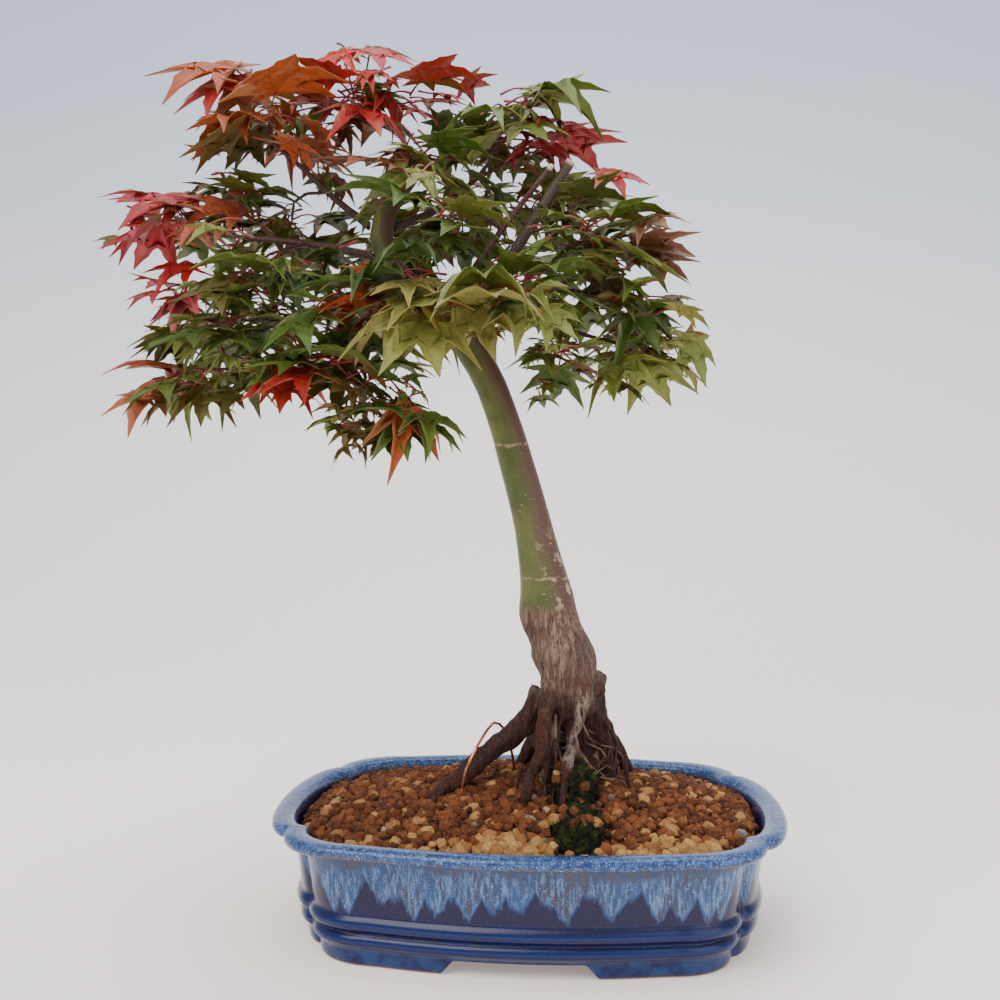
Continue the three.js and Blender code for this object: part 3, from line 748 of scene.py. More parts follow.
@dataclass
class SoilBed:
    """Granular soil: a bed tinted dark as painted shade, under two loose layers of separate granules."""

    pitch: float = 3.9 * MM
    grain: float = 4.2 * MM
    patterns: int = 6
    seed: int = 7

    def granule(self, index: int) -> Piece:
        """One pattern of granule: a cube that is subdivided, rounded and knocked out of shape.

        Args:
            index: The pattern's number.

        Returns:
            The pattern.
        """
        deselect()
        bpy.ops.mesh.primitive_cube_add(size=1.0)
        grain = added(f"granule_pattern_{index}")
        select_vertices(grain, [True] * 8)
        bpy.ops.mesh.subdivide(number_cuts=1)
        bpy.ops.transform.tosphere(value=0.66, center_override=(0.0, 0.0, 0.0))
        bpy.ops.transform.vertex_random(offset=0.17, seed=index + 1)
        bpy.ops.transform.resize(value=(1.0, 0.86, 0.74), center_override=(0.0, 0.0, 0.0))
        deselect()
        return grain

    def tan_share(self, x: float, y: float) -> float:
        """How much of the soil is coarse tan grains at a place measured from the pot's middle.

        Args:
            x: The place along the pot.
            y: The place across the pot.

        Returns:
            A share from 0 to 1.
        """
        patch = max(0.0, 1 - math.hypot((x / MM + 12) / 46, (y / MM + 72) / 17))
        right = max(0.0, 1 - math.hypot((x / MM - 66) / 46, (y / MM + 62) / 17))
        return min(0.95, 0.07 + 1.7 * patch + 1.1 * right)

    def kind_at(self, x: float, y: float, dice: np.random.Generator) -> Grain:
        """Chooses a granule's kind for a place.

        Args:
            x: The place along the pot.
            y: The place across the pot.
            dice: The seeded source of chance.

        Returns:
            The kind.
        """
        throw = dice.random()
        tan = self.tan_share(x, y)
        if throw < tan:
            return Grain.TAN
        if throw < tan + 0.006 + 0.2 * max(0.0, 1 - math.hypot(x / MM - 4, y / MM + 52) / 16):
            return Grain.GREY
        return Grain.DARK if dice.random() < 0.3 else Grain.BROWN

    def scatter(self) -> list[Piece]:
        """Lays the granules in two layers on a jittered triangular grid.

        Returns:
            One piece for the brown grains of each layer and one for the pale ones.
        """
        dice = np.random.default_rng(self.seed)
        patterns = [self.granule(i) for i in range(self.patterns)]
        shapes = [points_of(p) for p in patterns]
        faces = np.array([list(f.vertices) for f in patterns[0].data.polygons])
        ground = surface_tree("soil")
        moss = surface_tree("moss_clump")
        wood = surface_tree("trunk_and_roots")
        heaps: dict[str, list[tuple[np.ndarray, Colour]]] = {}
        low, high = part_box("soil")
        for layer, sink in enumerate((0.9, -0.1)):
            rows = int((high.y - low.y) / (self.pitch * 0.866)) + 1
            columns = int((high.x - low.x) / self.pitch) + 1
            for row in range(rows):
                for column in range(columns):
                    jitter = dice.uniform(-0.42, 0.42, 2) * self.pitch
                    x = low.x + (column + 0.5 * ((row + layer) % 2)) * self.pitch + jitter[0]
                    y = low.y + row * self.pitch * 0.866 + jitter[1]
                    kind = self.kind_at(x - POT_MIDDLE.x, y - POT_MIDDLE.y, dice)
                    size = self.grain * kind.value[1] * dice.uniform(0.68, 1.22)
                    turn = Matrix.Rotation(dice.uniform(0, 2 * math.pi), 3, UP)
                    lean = Vector(dice.normal(size=3)).normalized()
                    turn = Matrix.Rotation(dice.uniform(0, math.pi), 3, lean) @ turn
                    pattern = shapes[int(dice.integers(self.patterns))]
                    shade = dice.random()
                    hit = ground.ray_cast(Vector((x, y, 0.09)), -UP)[0]
                    if hit is None or hit.z < 46 * MM or (layer == 1 and dice.random() < 0.12):
                        continue
                    on_moss = moss.ray_cast(Vector((x, y, 0.09)), -UP)[0]
                    if on_moss is not None and on_moss.z > hit.z:
                        if layer == 0 or dice.random() < 0.78:
                            continue
                        hit = on_moss
                    centre = hit - UP * sink * size * 0.42 + UP * 0.3 * MM
                    near = wood.find_nearest(centre)
                    if near[3] is not None and (centre - near[0]).dot(near[1]) < -0.1 * size:
                        continue
                    a, b = np.array(rgb(kind.value[2])), np.array(rgb(kind.value[3]))
                    points = pattern @ np.array(turn).T * size + np.array(centre)
                    pale = kind in (Grain.TAN, Grain.GREY)
                    heap = "soil_granules_pale" if pale else f"soil_granules_{layer + 1}"
                    heaps.setdefault(heap, []).append((points, tuple(a + (b - a) * shade)))
        for pattern_piece in patterns:
            bpy.data.objects.remove(pattern_piece)
        return [copies(name, faces, heap) for name, heap in sorted(heaps.items())]

    def bed(self) -> Piece:
        """The fine soil under the granules, tinted darker than any granule as painted shade, which shows
        between the granules and through the drain holes.

        Returns:
            The fine soil.
        """
        bed = copy_of_node("soil", "soil_fines")
        points = points_of(bed)
        top = points[:, 2] > 48 * MM
        points[top, 2] -= 1.6 * MM
        move_points(bed, points)
        # Near-black tint: painted shade for the gaps between the granules and for the drain holes.
        mark_tint(bed, rgb("2c170d"))
        return bed

    def dress(self, bed: Piece, granules: Sequence[Piece]) -> None:
        """Gives the bed and the granules their clay."""
        clay = GrainFinish().material()
        for piece in (bed, *granules):
            piece.data.materials.append(clay)
            smooth(piece, math.radians(60))
            settle(piece, "bonsai_soil", *(["soil"] if piece is bed else []))


def copies(name: str, faces: np.ndarray, placed: Sequence[tuple[np.ndarray, Colour]]) -> Piece:
    """One piece made of many placed copies of patterns that share their faces.

    Args:
        name: The new piece's name.
        faces: The pattern's faces, a row of vertex numbers each.
        placed: The vertices of each copy, and its tint.

    Returns:
        The new piece, with the copies' colours in its tint attribute.
    """
    count = len(placed[0][0])
    points = np.concatenate([p for p, _ in placed])
    corners = np.concatenate([faces + i * count for i in range(len(placed))])
    mesh = bpy.data.meshes.new(name)
    mesh.from_pydata(points.tolist(), [], corners.tolist())
    piece = bpy.data.objects.new(name, mesh)
    bpy.context.scene.collection.objects.link(piece)
    mark_tint(piece, np.repeat([tint for _, tint in placed], count, axis=0))
    return piece


def mark_tint(piece: Piece, tint: object) -> None:
    """Stores a colour for each vertex of a piece, from one colour or one row for each.

    Args:
        piece: The piece to colour.
        tint: The colour or colours.
    """
    count = len(piece.data.vertices)
    rows = np.broadcast_to(np.asarray(tint, np.float32), (count, 3))
    layer = piece.data.color_attributes.get("tint")
    layer = layer or piece.data.color_attributes.new("tint", "FLOAT_COLOR", "POINT")
    layer.data.foreach_set("color", np.hstack([rows, np.ones((count, 1), np.float32)]).ravel())


# ---- Wood --------------------------------------------------------------------------------------


def surface_tree(node: str) -> BVHTree:
    """A CAD node's surface, to cast rays at and measure distances from."""
    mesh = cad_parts[node].data
    return BVHTree.FromPolygons([v.co for v in mesh.vertices], [p.vertices for p in mesh.polygons])


@dataclass(frozen=True)
class TrunkBark:
    """Smooth olive bark above, tan corky bark at the burl and dark fluted bark on the roots."""

    olive: Colour = rgb("495326")
    olive_pale: Colour = rgb("686b38")
    purple: Colour = rgb("5c4034")
    scar: Colour = rgb("a98d72")
    cork: Colour = rgb("634a3c")
    cork_pale: Colour = rgb("96806c")
    cork_dark: Colour = rgb("33211b")
    root: Colour = rgb("361a13")
    root_dark: Colour = rgb("120806")
    root_pale: Colour = rgb("5a3e33")
    reddened: Colour = rgb("4c2218")
    bleached: Colour = rgb("8c7a6e")
    cork_top: float = 149 * MM
    root_top: float = 112 * MM
    ring_heights: tuple[float, ...] = (226 * MM, 163 * MM)

    def material(self) -> bpy.types.Material:
        """Builds the bark, changing with the height above the ground.

        Returns:
            The finished material.
        """
        s = Shader("maple_trunk_bark")
        height = s.axis(2)
        grain = s.cloud(1.0, s.stretched((520, 520, 55)), detail=6, rough=0.65)
        broad = s.cloud(55, detail=3)
        # The side mark grows on the faces that turn to the right, towards +X: there the bark turns
        # purple-brown and, low down, flakes pale.
        side = s.calc("ADD", s.read("right_facing_side").outputs["Fac"], s.calc("MULTIPLY", broad, 0.9))
        skin = s.mix(s.rise(broad, 0.35, 0.7), self.olive, self.olive_pale)
        skin = s.mix(s.rise(side, 0.35, 1.05), skin, self.purple)
        wave = s.calc("MULTIPLY", s.cloud(90, detail=2), 5 * MM)
        for ring in self.ring_heights:
            off = s.calc("ABSOLUTE", s.calc("SUBTRACT", s.calc("ADD", height, wave), ring + 2.5 * MM))
            line = s.calc("MULTIPLY", s.rise(off, 0.9 * MM, 0.3 * MM), s.rise(s.cloud(240), 0.4, 0.55))
            skin = s.mix(s.calc("MULTIPLY", line, 0.75), skin, self.scar)
        pores = s.cells(1.0, s.stretched((170, 170, 420)))
        small = s.rise(s.cells(1.0, s.stretched((420, 420, 900))).outputs[0], 0.2, 0.12)
        low_down = s.rise(height, 260 * MM, 165 * MM)
        dots = s.calc("MULTIPLY", s.rise(pores.outputs[0], 0.19, 0.1), low_down)
        dots = s.calc("MAXIMUM", dots, s.calc("MULTIPLY", small, s.calc("MULTIPLY", low_down, 0.6)))
        skin = s.mix(s.calc("MULTIPLY", dots, s.rise(s.cloud(70), 0.42, 0.6)), skin, self.scar)

        fibre = s.cloud(1.0, s.stretched((1300, 1300, 120)), detail=5, rough=0.7)
        grain = s.calc("MULTIPLY_ADD", fibre, 0.5, s.calc("MULTIPLY", grain, 0.5))
        flakes = s.calc("MULTIPLY", s.rise(s.cloud(190, detail=4), 0.56, 0.62), s.rise(side, 0.5, 0.8))
        skin = s.mix(s.calc("MULTIPLY", flakes, s.rise(height, 192 * MM, 168 * MM)), skin, self.scar)

        cork = s.ramp(grain, [(0.36, self.cork_dark), (0.47, self.cork), (0.6, self.cork_pale)])
        cork = s.mix(s.rise(s.cloud(75, detail=4), 0.44, 0.66), cork, s.mix(0.6, cork, rgb("4a3034")))
        root = s.ramp(grain, [(0.36, self.root_dark), (0.5, self.root), (0.66, self.root_pale)])
        patches = s.rise(s.cloud(48, detail=3), 0.54, 0.66)
        redness = s.calc("MAXIMUM", patches, s.read("reddened").outputs["Fac"])
        root = s.mix(s.calc("MULTIPLY", redness, s.rise(grain, 0.38, 0.56)), root, self.reddened)
        pale_root = s.calc("MULTIPLY", s.read("bleached").outputs["Fac"], s.rise(grain, 0.42, 0.58))
        root = s.mix(pale_root, root, self.bleached)
        patchy = s.calc("MULTIPLY", s.calc("SUBTRACT", s.cloud(60, detail=3), 0.5), 60 * MM)
        level = s.calc("ADD", height, patchy)
        lower = s.mix(s.rise(level, self.root_top - 14 * MM, self.root_top + 16 * MM), root, cork)
        cork_edge = s.calc("ADD", height, s.calc("MULTIPLY", patchy, 0.25))
        smooth_part = s.rise(cork_edge, self.cork_top - 3 * MM, self.cork_top + 3 * MM)
        colour = s.mix(smooth_part, lower, skin)
        coarse = s.calc("SUBTRACT", 1.0, s.calc("MULTIPLY", smooth_part, 0.85))
        fine = s.calc("MULTIPLY", s.calc("ADD", grain, s.calc("MULTIPLY", dots, 0.8)), coarse)
        s.relief(fine, 1.5 * MM, 0.9)
        rough = s.calc("MULTIPLY_ADD", coarse, 0.35, 0.45)
        return s.done(Base_Color=colour, Roughness=rough, Specular_IOR_Level=0.35)


@dataclass
class Trunk:
    """The leaning trunk and its exposed roots, with the fine roots that hang on them."""

    voxel: float = 0.85 * MM
    flute_depth: float = 1.1 * MM
    burl_height: float = 132 * MM
    fine_roots: int = 60
    red_root: tuple[tuple[float, float, float], ...] = (
        (11 * MM, -14 * MM, 108 * MM),
        (4 * MM, -26 * MM, 84 * MM),
    )
    pale_root: tuple[tuple[float, float, float], ...] = (
        (27 * MM, -17 * MM, 108 * MM),
        (21 * MM, -32 * MM, 84 * MM),
    )
    inner_roots: tuple[tuple[float, float, float], ...] = (
        (3 * MM, 6 * MM, 2.6 * MM),
        (9 * MM, -6 * MM, 3.0 * MM),
        (20 * MM, 10 * MM, 3.6 * MM),
        (14 * MM, 4 * MM, 3.4 * MM),
        (24 * MM, -16 * MM, 3.2 * MM),
    )
    knots: tuple[tuple[float, float, float, float, float], ...] = (
        (-2 * MM, -3 * MM, 145 * MM, 8 * MM, 1.5 * MM),
        (30 * MM, -4 * MM, 125 * MM, 13 * MM, 3.4 * MM),
        (16 * MM, -14 * MM, 128 * MM, 8 * MM, 1.0 * MM),
    )
    seed: int = 21

    def build(self) -> Piece:
        """Refines the CAD trunk, then cuts flutes in its roots and raises its burl.

        Returns:
            The trunk with its thick roots.
        """
        trunk = copy_of_node("trunk_and_roots", "trunk_and_roots_bark")
        work(trunk, "REMESH", mode="VOXEL", voxel_size=self.voxel)
        work(trunk, "SMOOTH", factor=0.6, iterations=9)
        points = points_of(trunk)
        normals = normals_of(trunk)
        moved = points.copy()
        for i, (place, normal) in enumerate(zip(points, normals)):
            x, y, z = place
            low = min(1.0, max(0.0, (150 * MM - z) / (40 * MM)))
            flute = noise.noise(Vector((x * 260, y * 260, z * 34)))
            crumple = noise.fractal(Vector((x * 120, y * 120, z * 90)), 0.9, 2.1, 4)
            burl = math.exp(-(((z - self.burl_height) / (13 * MM)) ** 2))
            lift = low * (self.flute_depth * flute + 0.9 * MM * crumple) + 0.6 * MM * burl * crumple
            lift += 0.18 * MM * noise.noise(Vector((x * 60, y * 60, z * 25)))
            for kx, ky, kz, reach, height in self.knots:
                away = (Vector(place) - POT_MIDDLE - Vector((kx, ky, kz))).length / reach
                lift += height * math.exp(-away * away)
            moved[i] = place + normal * lift
        move_points(trunk, moved)
        # How far each face turns to the right, towards +X, and a little to the front.
        mark(trunk, "right_facing_side", np.clip(normals[:, 0] * 0.75 - normals[:, 1] * 0.1, -1, 1))
        mark(trunk, "reddened", self.beside(points, self.red_root))
        mark(trunk, "bleached", self.beside(points, self.pale_root))
        return trunk

    def beside(self, points: np.ndarray, ends: Sequence[tuple[float, float, float]]) -> np.ndarray:
        """How near each point lies to the line between two ends, from 0 far away to 1 on one root.

        Args:
            points: The points, one in a row.
            ends: The root's two ends, in millimetres.

        Returns:
            One number for each point.
        """
        start, stop = (np.array(POT_MIDDLE) + np.array(end) for end in ends)
        line = stop - start
        share = np.clip((points - start) @ line / (line @ line), 0, 1)
        away = np.linalg.norm(points - start - share[:, None] * line, axis=1)
        return 0.85 * np.clip((6 * MM - away) / (3.5 * MM), 0, 1)

    def hang_roots(self) -> Piece:
        """Fine roots that run down the root mass and out into the soil.

        Returns:
            All the fine roots as one piece.
        """
        dice = np.random.default_rng(self.seed)
        wood = surface_tree("trunk_and_roots")
        core = POT_MIDDLE + Vector((20 * MM, -2 * MM, 0))
        routes = []
        radii = []
        for _ in range(self.fine_roots):
            angle = dice.uniform(-math.pi, math.pi)
            drift = dice.uniform(-0.7, 0.7)
            top = dice.uniform(70, 104) * MM
            bottom = dice.uniform(50, 58) * MM
            thick = dice.uniform(0.3, 0.85) * MM
            route = []
            for step in range(7):
                share = step / 6
                turn = angle + drift * share + 0.25 * math.sin(4 * share + angle)
                height = top + (bottom - top) * share
                away = Vector((math.cos(turn), math.sin(turn), 0.0))
                middle = core + UP * height + Vector((6 * MM * share, 0, 0))
                hit = wood.ray_cast(middle + away * 90 * MM, -away)[0]
                reach = (hit - middle).dot(away) if hit else 9 * MM
                route.append(middle + away * (min(reach, (11 + 27 * share) * MM) + thick * 0.5))
            routes.append(route)
            radii.append([thick * (1.15 - 0.6 * i / 6) for i in range(7)])
        for foot_x, foot_y, thick in self.inner_roots:
            foot = POT_MIDDLE + Vector((foot_x, foot_y, 54 * MM))
            head = POT_MIDDLE + Vector((16 * MM, -1 * MM, 106 * MM))
            bow = Vector((0.25 * (foot_x - 16 * MM), 0.25 * foot_y, 0.0))
            routes.append([head, head.lerp(foot, 0.35) + bow, head.lerp(foot, 0.7) + bow, foot])
            radii.append([thick, thick * 0.9, thick * 0.75, thick * 0.6])
        return tubes("fine_roots", routes, radii, sides=2)

    def dress(self, trunk: Piece, fine: Piece) -> None:
        """Gives the trunk its bark and the fine roots theirs.

        Args:
            trunk: The trunk's piece.
            fine: The fine roots' piece.
        """
        trunk.data.materials.append(TrunkBark().material())
        smooth(trunk)
        settle(trunk, "trunk_bark", "trunk_and_roots")
        fine.data.materials.append(FineRootBark().material())
        smooth(fine)
        settle(fine, "trunk_bark")


@dataclass(frozen=True)
class FineRootBark:
    """Thin reddish and whitish roots."""

    red: Colour = rgb("43201a")
    pale: Colour = rgb("8d7462")

    def material(self) -> bpy.types.Material:
        """Builds the roots' bark.

        Returns:
            The finished material.
        """
        s = Shader("fine_root_bark")
        colour = s.mix(s.rise(s.cloud(95, detail=3), 0.48, 0.66), self.red, self.pale)
        s.relief(s.cloud(1.0, s.stretched((900, 900, 200))), 0.3 * MM, 0.6)
        return s.done(Base_Color=colour, Roughness=0.75)


@dataclass(frozen=True)
class TwigBark:
    """Young bark: dark red-brown on twigs, greyer where they are old, pale where one was cut."""

    young: Colour = rgb("45151a")
    old: Colour = rgb("4c3c34")
    green: Colour = rgb("3c3a1a")
    cut: Colour = rgb("cbb391")

    def material(self) -> bpy.types.Material:
        """Builds the twigs' bark.

        Returns:
            The finished material.
        """
        s = Shader("maple_twig_bark")
        age = s.read("thickness").outputs["Fac"]
        mottled = s.cloud(60, detail=3)
        colour = s.mix(s.rise(mottled, 0.4, 0.65), self.young, s.mix(0.5, self.young, self.green))
        colour = s.mix(s.rise(age, 1.3 * MM, 2.8 * MM), colour, self.old)
        specks = s.rise(s.cells(900).outputs[0], 0.25, 0.12)
        colour = s.mix(s.calc("MULTIPLY", specks, 0.35), colour, self.cut)
        colour = s.mix(s.read("cut_end").outputs["Fac"], colour, self.cut)
        s.relief(s.cloud(700, detail=4), 0.3 * MM, 0.5)
        return s.done(Base_Color=colour, Roughness=0.55, Specular_IOR_Level=0.4)


@dataclass
class Branches:
    """The ten branches with their twigs, refined from the frame's."""

    voxel: float = 0.62 * MM
    cut_ends: tuple[tuple[float, float, float], ...] = (
        (20 * MM, -10 * MM, 357.5 * MM),
        (12 * MM, -27 * MM, 351.5 * MM),
    )

    def build(self, node: str) -> Piece:
        """Refines one branch and marks how thick it is at each place.

        Args:
            node: The branch's CAD node.

        Returns:
            The refined branch.
        """
        branch = copy_of_node(node, node.replace("branch_", "limb_and_twigs_"))
        rough = BVHTree.FromObject(branch, bpy.context.evaluated_depsgraph_get())
        work(branch, "REMESH", mode="VOXEL", voxel_size=self.voxel)
        work(branch, "SMOOTH", factor=0.5, iterations=5)
        points = points_of(branch)
        normals = normals_of(branch)
        lifts = [0.16 * MM * noise.noise(Vector(p) * 190) for p in points]
        thick = []
        for place, normal in zip(points, normals):
            inward = Vector(-normal)
            hit = rough.ray_cast(Vector(place) + inward * 0.3 * MM, inward)[0]
            thick.append(0.5 * (hit - Vector(place)).length if hit else 1.0 * MM)
        move_points(branch, points + normals * np.array(lifts)[:, None])
        mark(branch, "thickness", np.array(thick))
        ends = np.array([np.array(POT_MIDDLE) + np.array(end) for end in self.cut_ends])
        away = np.min(np.linalg.norm(points[:, None] - ends[None], axis=2), axis=1)
        mark(branch, "cut_end", np.clip((3.4 * MM - away) / (0.8 * MM), 0, 1))
        return branch

    def dress(self, branch: Piece, node: str, bark: bpy.types.Material) -> None:
        """Gives a branch its bark.

        Args:
            branch: The branch's piece.
            node: The CAD node it replaces.
            bark: The twigs' bark.
        """
        branch.data.materials.append(bark)
        smooth(branch)
        settle(branch, "twig_bark", node)


# ---- Leaves ------------------------------------------------------------------------------------


class Tone(Enum):
    """The colours a leaf may have, from its plain colour to its second one."""

    DARK_GREEN = ("2f4a1a", "4a6422")
    GREEN = ("4c6822", "748430")
    LIME = ("6f8030", "8c9240")
    YELLOW = ("8d9340", "a89c55")
    OLIVE = ("5c5c24", "7a5a2a")
    ORANGE = ("b04420", "bf5c2a")
    RUST = ("7f3c22", "96502c")
    RED = ("b81c22", "c8302c")
    CRIMSON = ("a01828", "c4283c")
    SALMON = ("ae4e34", "be6a48")
    PINK = ("c03c50", "cc6064")
    MAUVE = ("8a5240", "a07454")


@dataclass(frozen=True)
class TonePatch:
    """A part of the crown, seen from the front, where the leaves share a colour."""

    x: float
    z: float
    reach: float
    tone: Tone

    def weight(self, place: Vector) -> float:
        """How strongly the patch colours a place measured from the pot's middle, from 0 to 1."""
        away = math.hypot(place.x / MM - self.x, place.z / MM - self.z) / self.reach
        return max(0.0, 1 - away * away)


PATCHES = (
    TonePatch(-190, 248, 26, Tone.SALMON),
    TonePatch(-118, 252, 16, Tone.RED),
    TonePatch(-88, 250, 15, Tone.OLIVE),
    TonePatch(-80, 232, 14, Tone.OLIVE),
    TonePatch(-42, 226, 22, Tone.ORANGE),
    TonePatch(-155, 396, 34, Tone.ORANGE),
    TonePatch(-170, 368, 18, Tone.MAUVE),
    TonePatch(-190, 342, 20, Tone.CRIMSON),
    TonePatch(-166, 338, 14, Tone.SALMON),
    TonePatch(-182, 302, 22, Tone.PINK),
    TonePatch(-128, 398, 26, Tone.ORANGE),
    TonePatch(-96, 408, 32, Tone.RED),
    TonePatch(-50, 412, 34, Tone.RED),
    TonePatch(-12, 402, 24, Tone.RUST),
    TonePatch(-80, 366, 26, Tone.RUST),
    TonePatch(-112, 378, 20, Tone.ORANGE),
    TonePatch(-76, 300, 11, Tone.ORANGE),
    TonePatch(-43, 286, 34, Tone.YELLOW),
    TonePatch(-76, 334, 30, Tone.LIME),
    TonePatch(44, 352, 20, Tone.RED),
    TonePatch(8, 372, 18, Tone.CRIMSON),
    TonePatch(64, 318, 22, Tone.MAUVE),
    TonePatch(74, 272, 24, Tone.YELLOW),
    TonePatch(-4, 392, 26, Tone.LIME),
)


@dataclass(frozen=True)
class LeafFinish:
    """A thin leaf with pale veins, that lets some light through and dries brown from its tips."""

    dry: Colour = rgb("86582e")
    through: float = 0.28

    def material(self) -> bpy.types.Material:
        """Builds the leaf from its own tint, veins and dryness.

        Returns:
            The finished material.
        """
        s = Shader("maple_leaf_blade")
        tint = s.read("tint").outputs["Color"]
        spot = s.node("UVMap", {}, uv_map="across_and_along").outputs[0]
        across = s.calc("ABSOLUTE", s.axis(0, spot))
        along = s.axis(1, spot)
        dryness = s.read("dryness").outputs["Fac"]
        mottled = s.cloud(230, detail=4)
        colour = s.mix(s.rise(mottled, 0.3, 0.7), s.mix(0.3, tint, rgb("16200c")), tint)
        slanted = s.calc("SUBTRACT", along, s.calc("MULTIPLY", across, 0.13))
        sideways = s.calc("SINE", s.calc("MULTIPLY", slanted, 75.0))
        midrib = s.rise(across, 0.14, 0.03)
        veins = s.calc("MAXIMUM", midrib, s.calc("MULTIPLY", s.rise(sideways, 0.86, 1.0), 0.45))
        colour = s.mix(s.calc("MULTIPLY", veins, 0.35), colour, s.mix(0.5, tint, rgb("d8cf9a")))
        rim = s.calc("MULTIPLY", s.calc("POWER", across, 2.0), 0.45)
        outward = s.calc("ADD", s.calc("MULTIPLY", along, 0.7), rim)
        turning = s.calc("MULTIPLY", s.rise(outward, 0.35, 1.05), 0.75)
        colour = s.mix(turning, colour, (1.5, 1.12, 0.75), blend="MULTIPLY")
        burnt = s.calc("ADD", outward, s.calc("MULTIPLY", mottled, 0.6))
        burnt = s.rise(s.calc("ADD", burnt, dryness), 1.1, 1.36)
        colour = s.mix(burnt, colour, self.dry)
        s.relief(s.calc("ADD", veins, s.calc("MULTIPLY", mottled, 0.5)), 0.35 * MM, 0.5)
        s.done(Base_Color=colour, Roughness=0.48, Specular_IOR_Level=0.4)
        glow = s.node("BsdfTranslucent", {"Color": s.mix(0.35, colour, rgb("d6c04a"))})
        both = s.node("MixShader", {0: self.through, 1: s.surface.outputs[0], 2: glow.outputs[0]})
        s.feed(s.tree.nodes["Material Output"].inputs["Surface"], both.outputs[0])
        return s.material


@dataclass(frozen=True)
class StalkFinish:
    """Thin smooth stalks, red in the light and green-brown in the shade."""

    red: Colour = rgb("8a1f2b")
    green: Colour = rgb("7a6a34")

    def material(self) -> bpy.types.Material:
        """Builds the stalks' skin.

        Returns:
            The finished material.
        """
        s = Shader("maple_leaf_stalk")
        colour = s.mix(s.rise(s.cloud(45, detail=2), 0.5, 0.68), self.red, self.green)
        s.relief(s.cloud(1200), 0.1 * MM, 0.4)
        return s.done(Base_Color=colour, Roughness=0.42)


@dataclass(frozen=True)
class LeafForm:
    """How one pattern of leaf hangs: its sag, the fold along each lobe and how its tips curl."""

    sag: float
    fold: float
    curl: float
    narrow: float


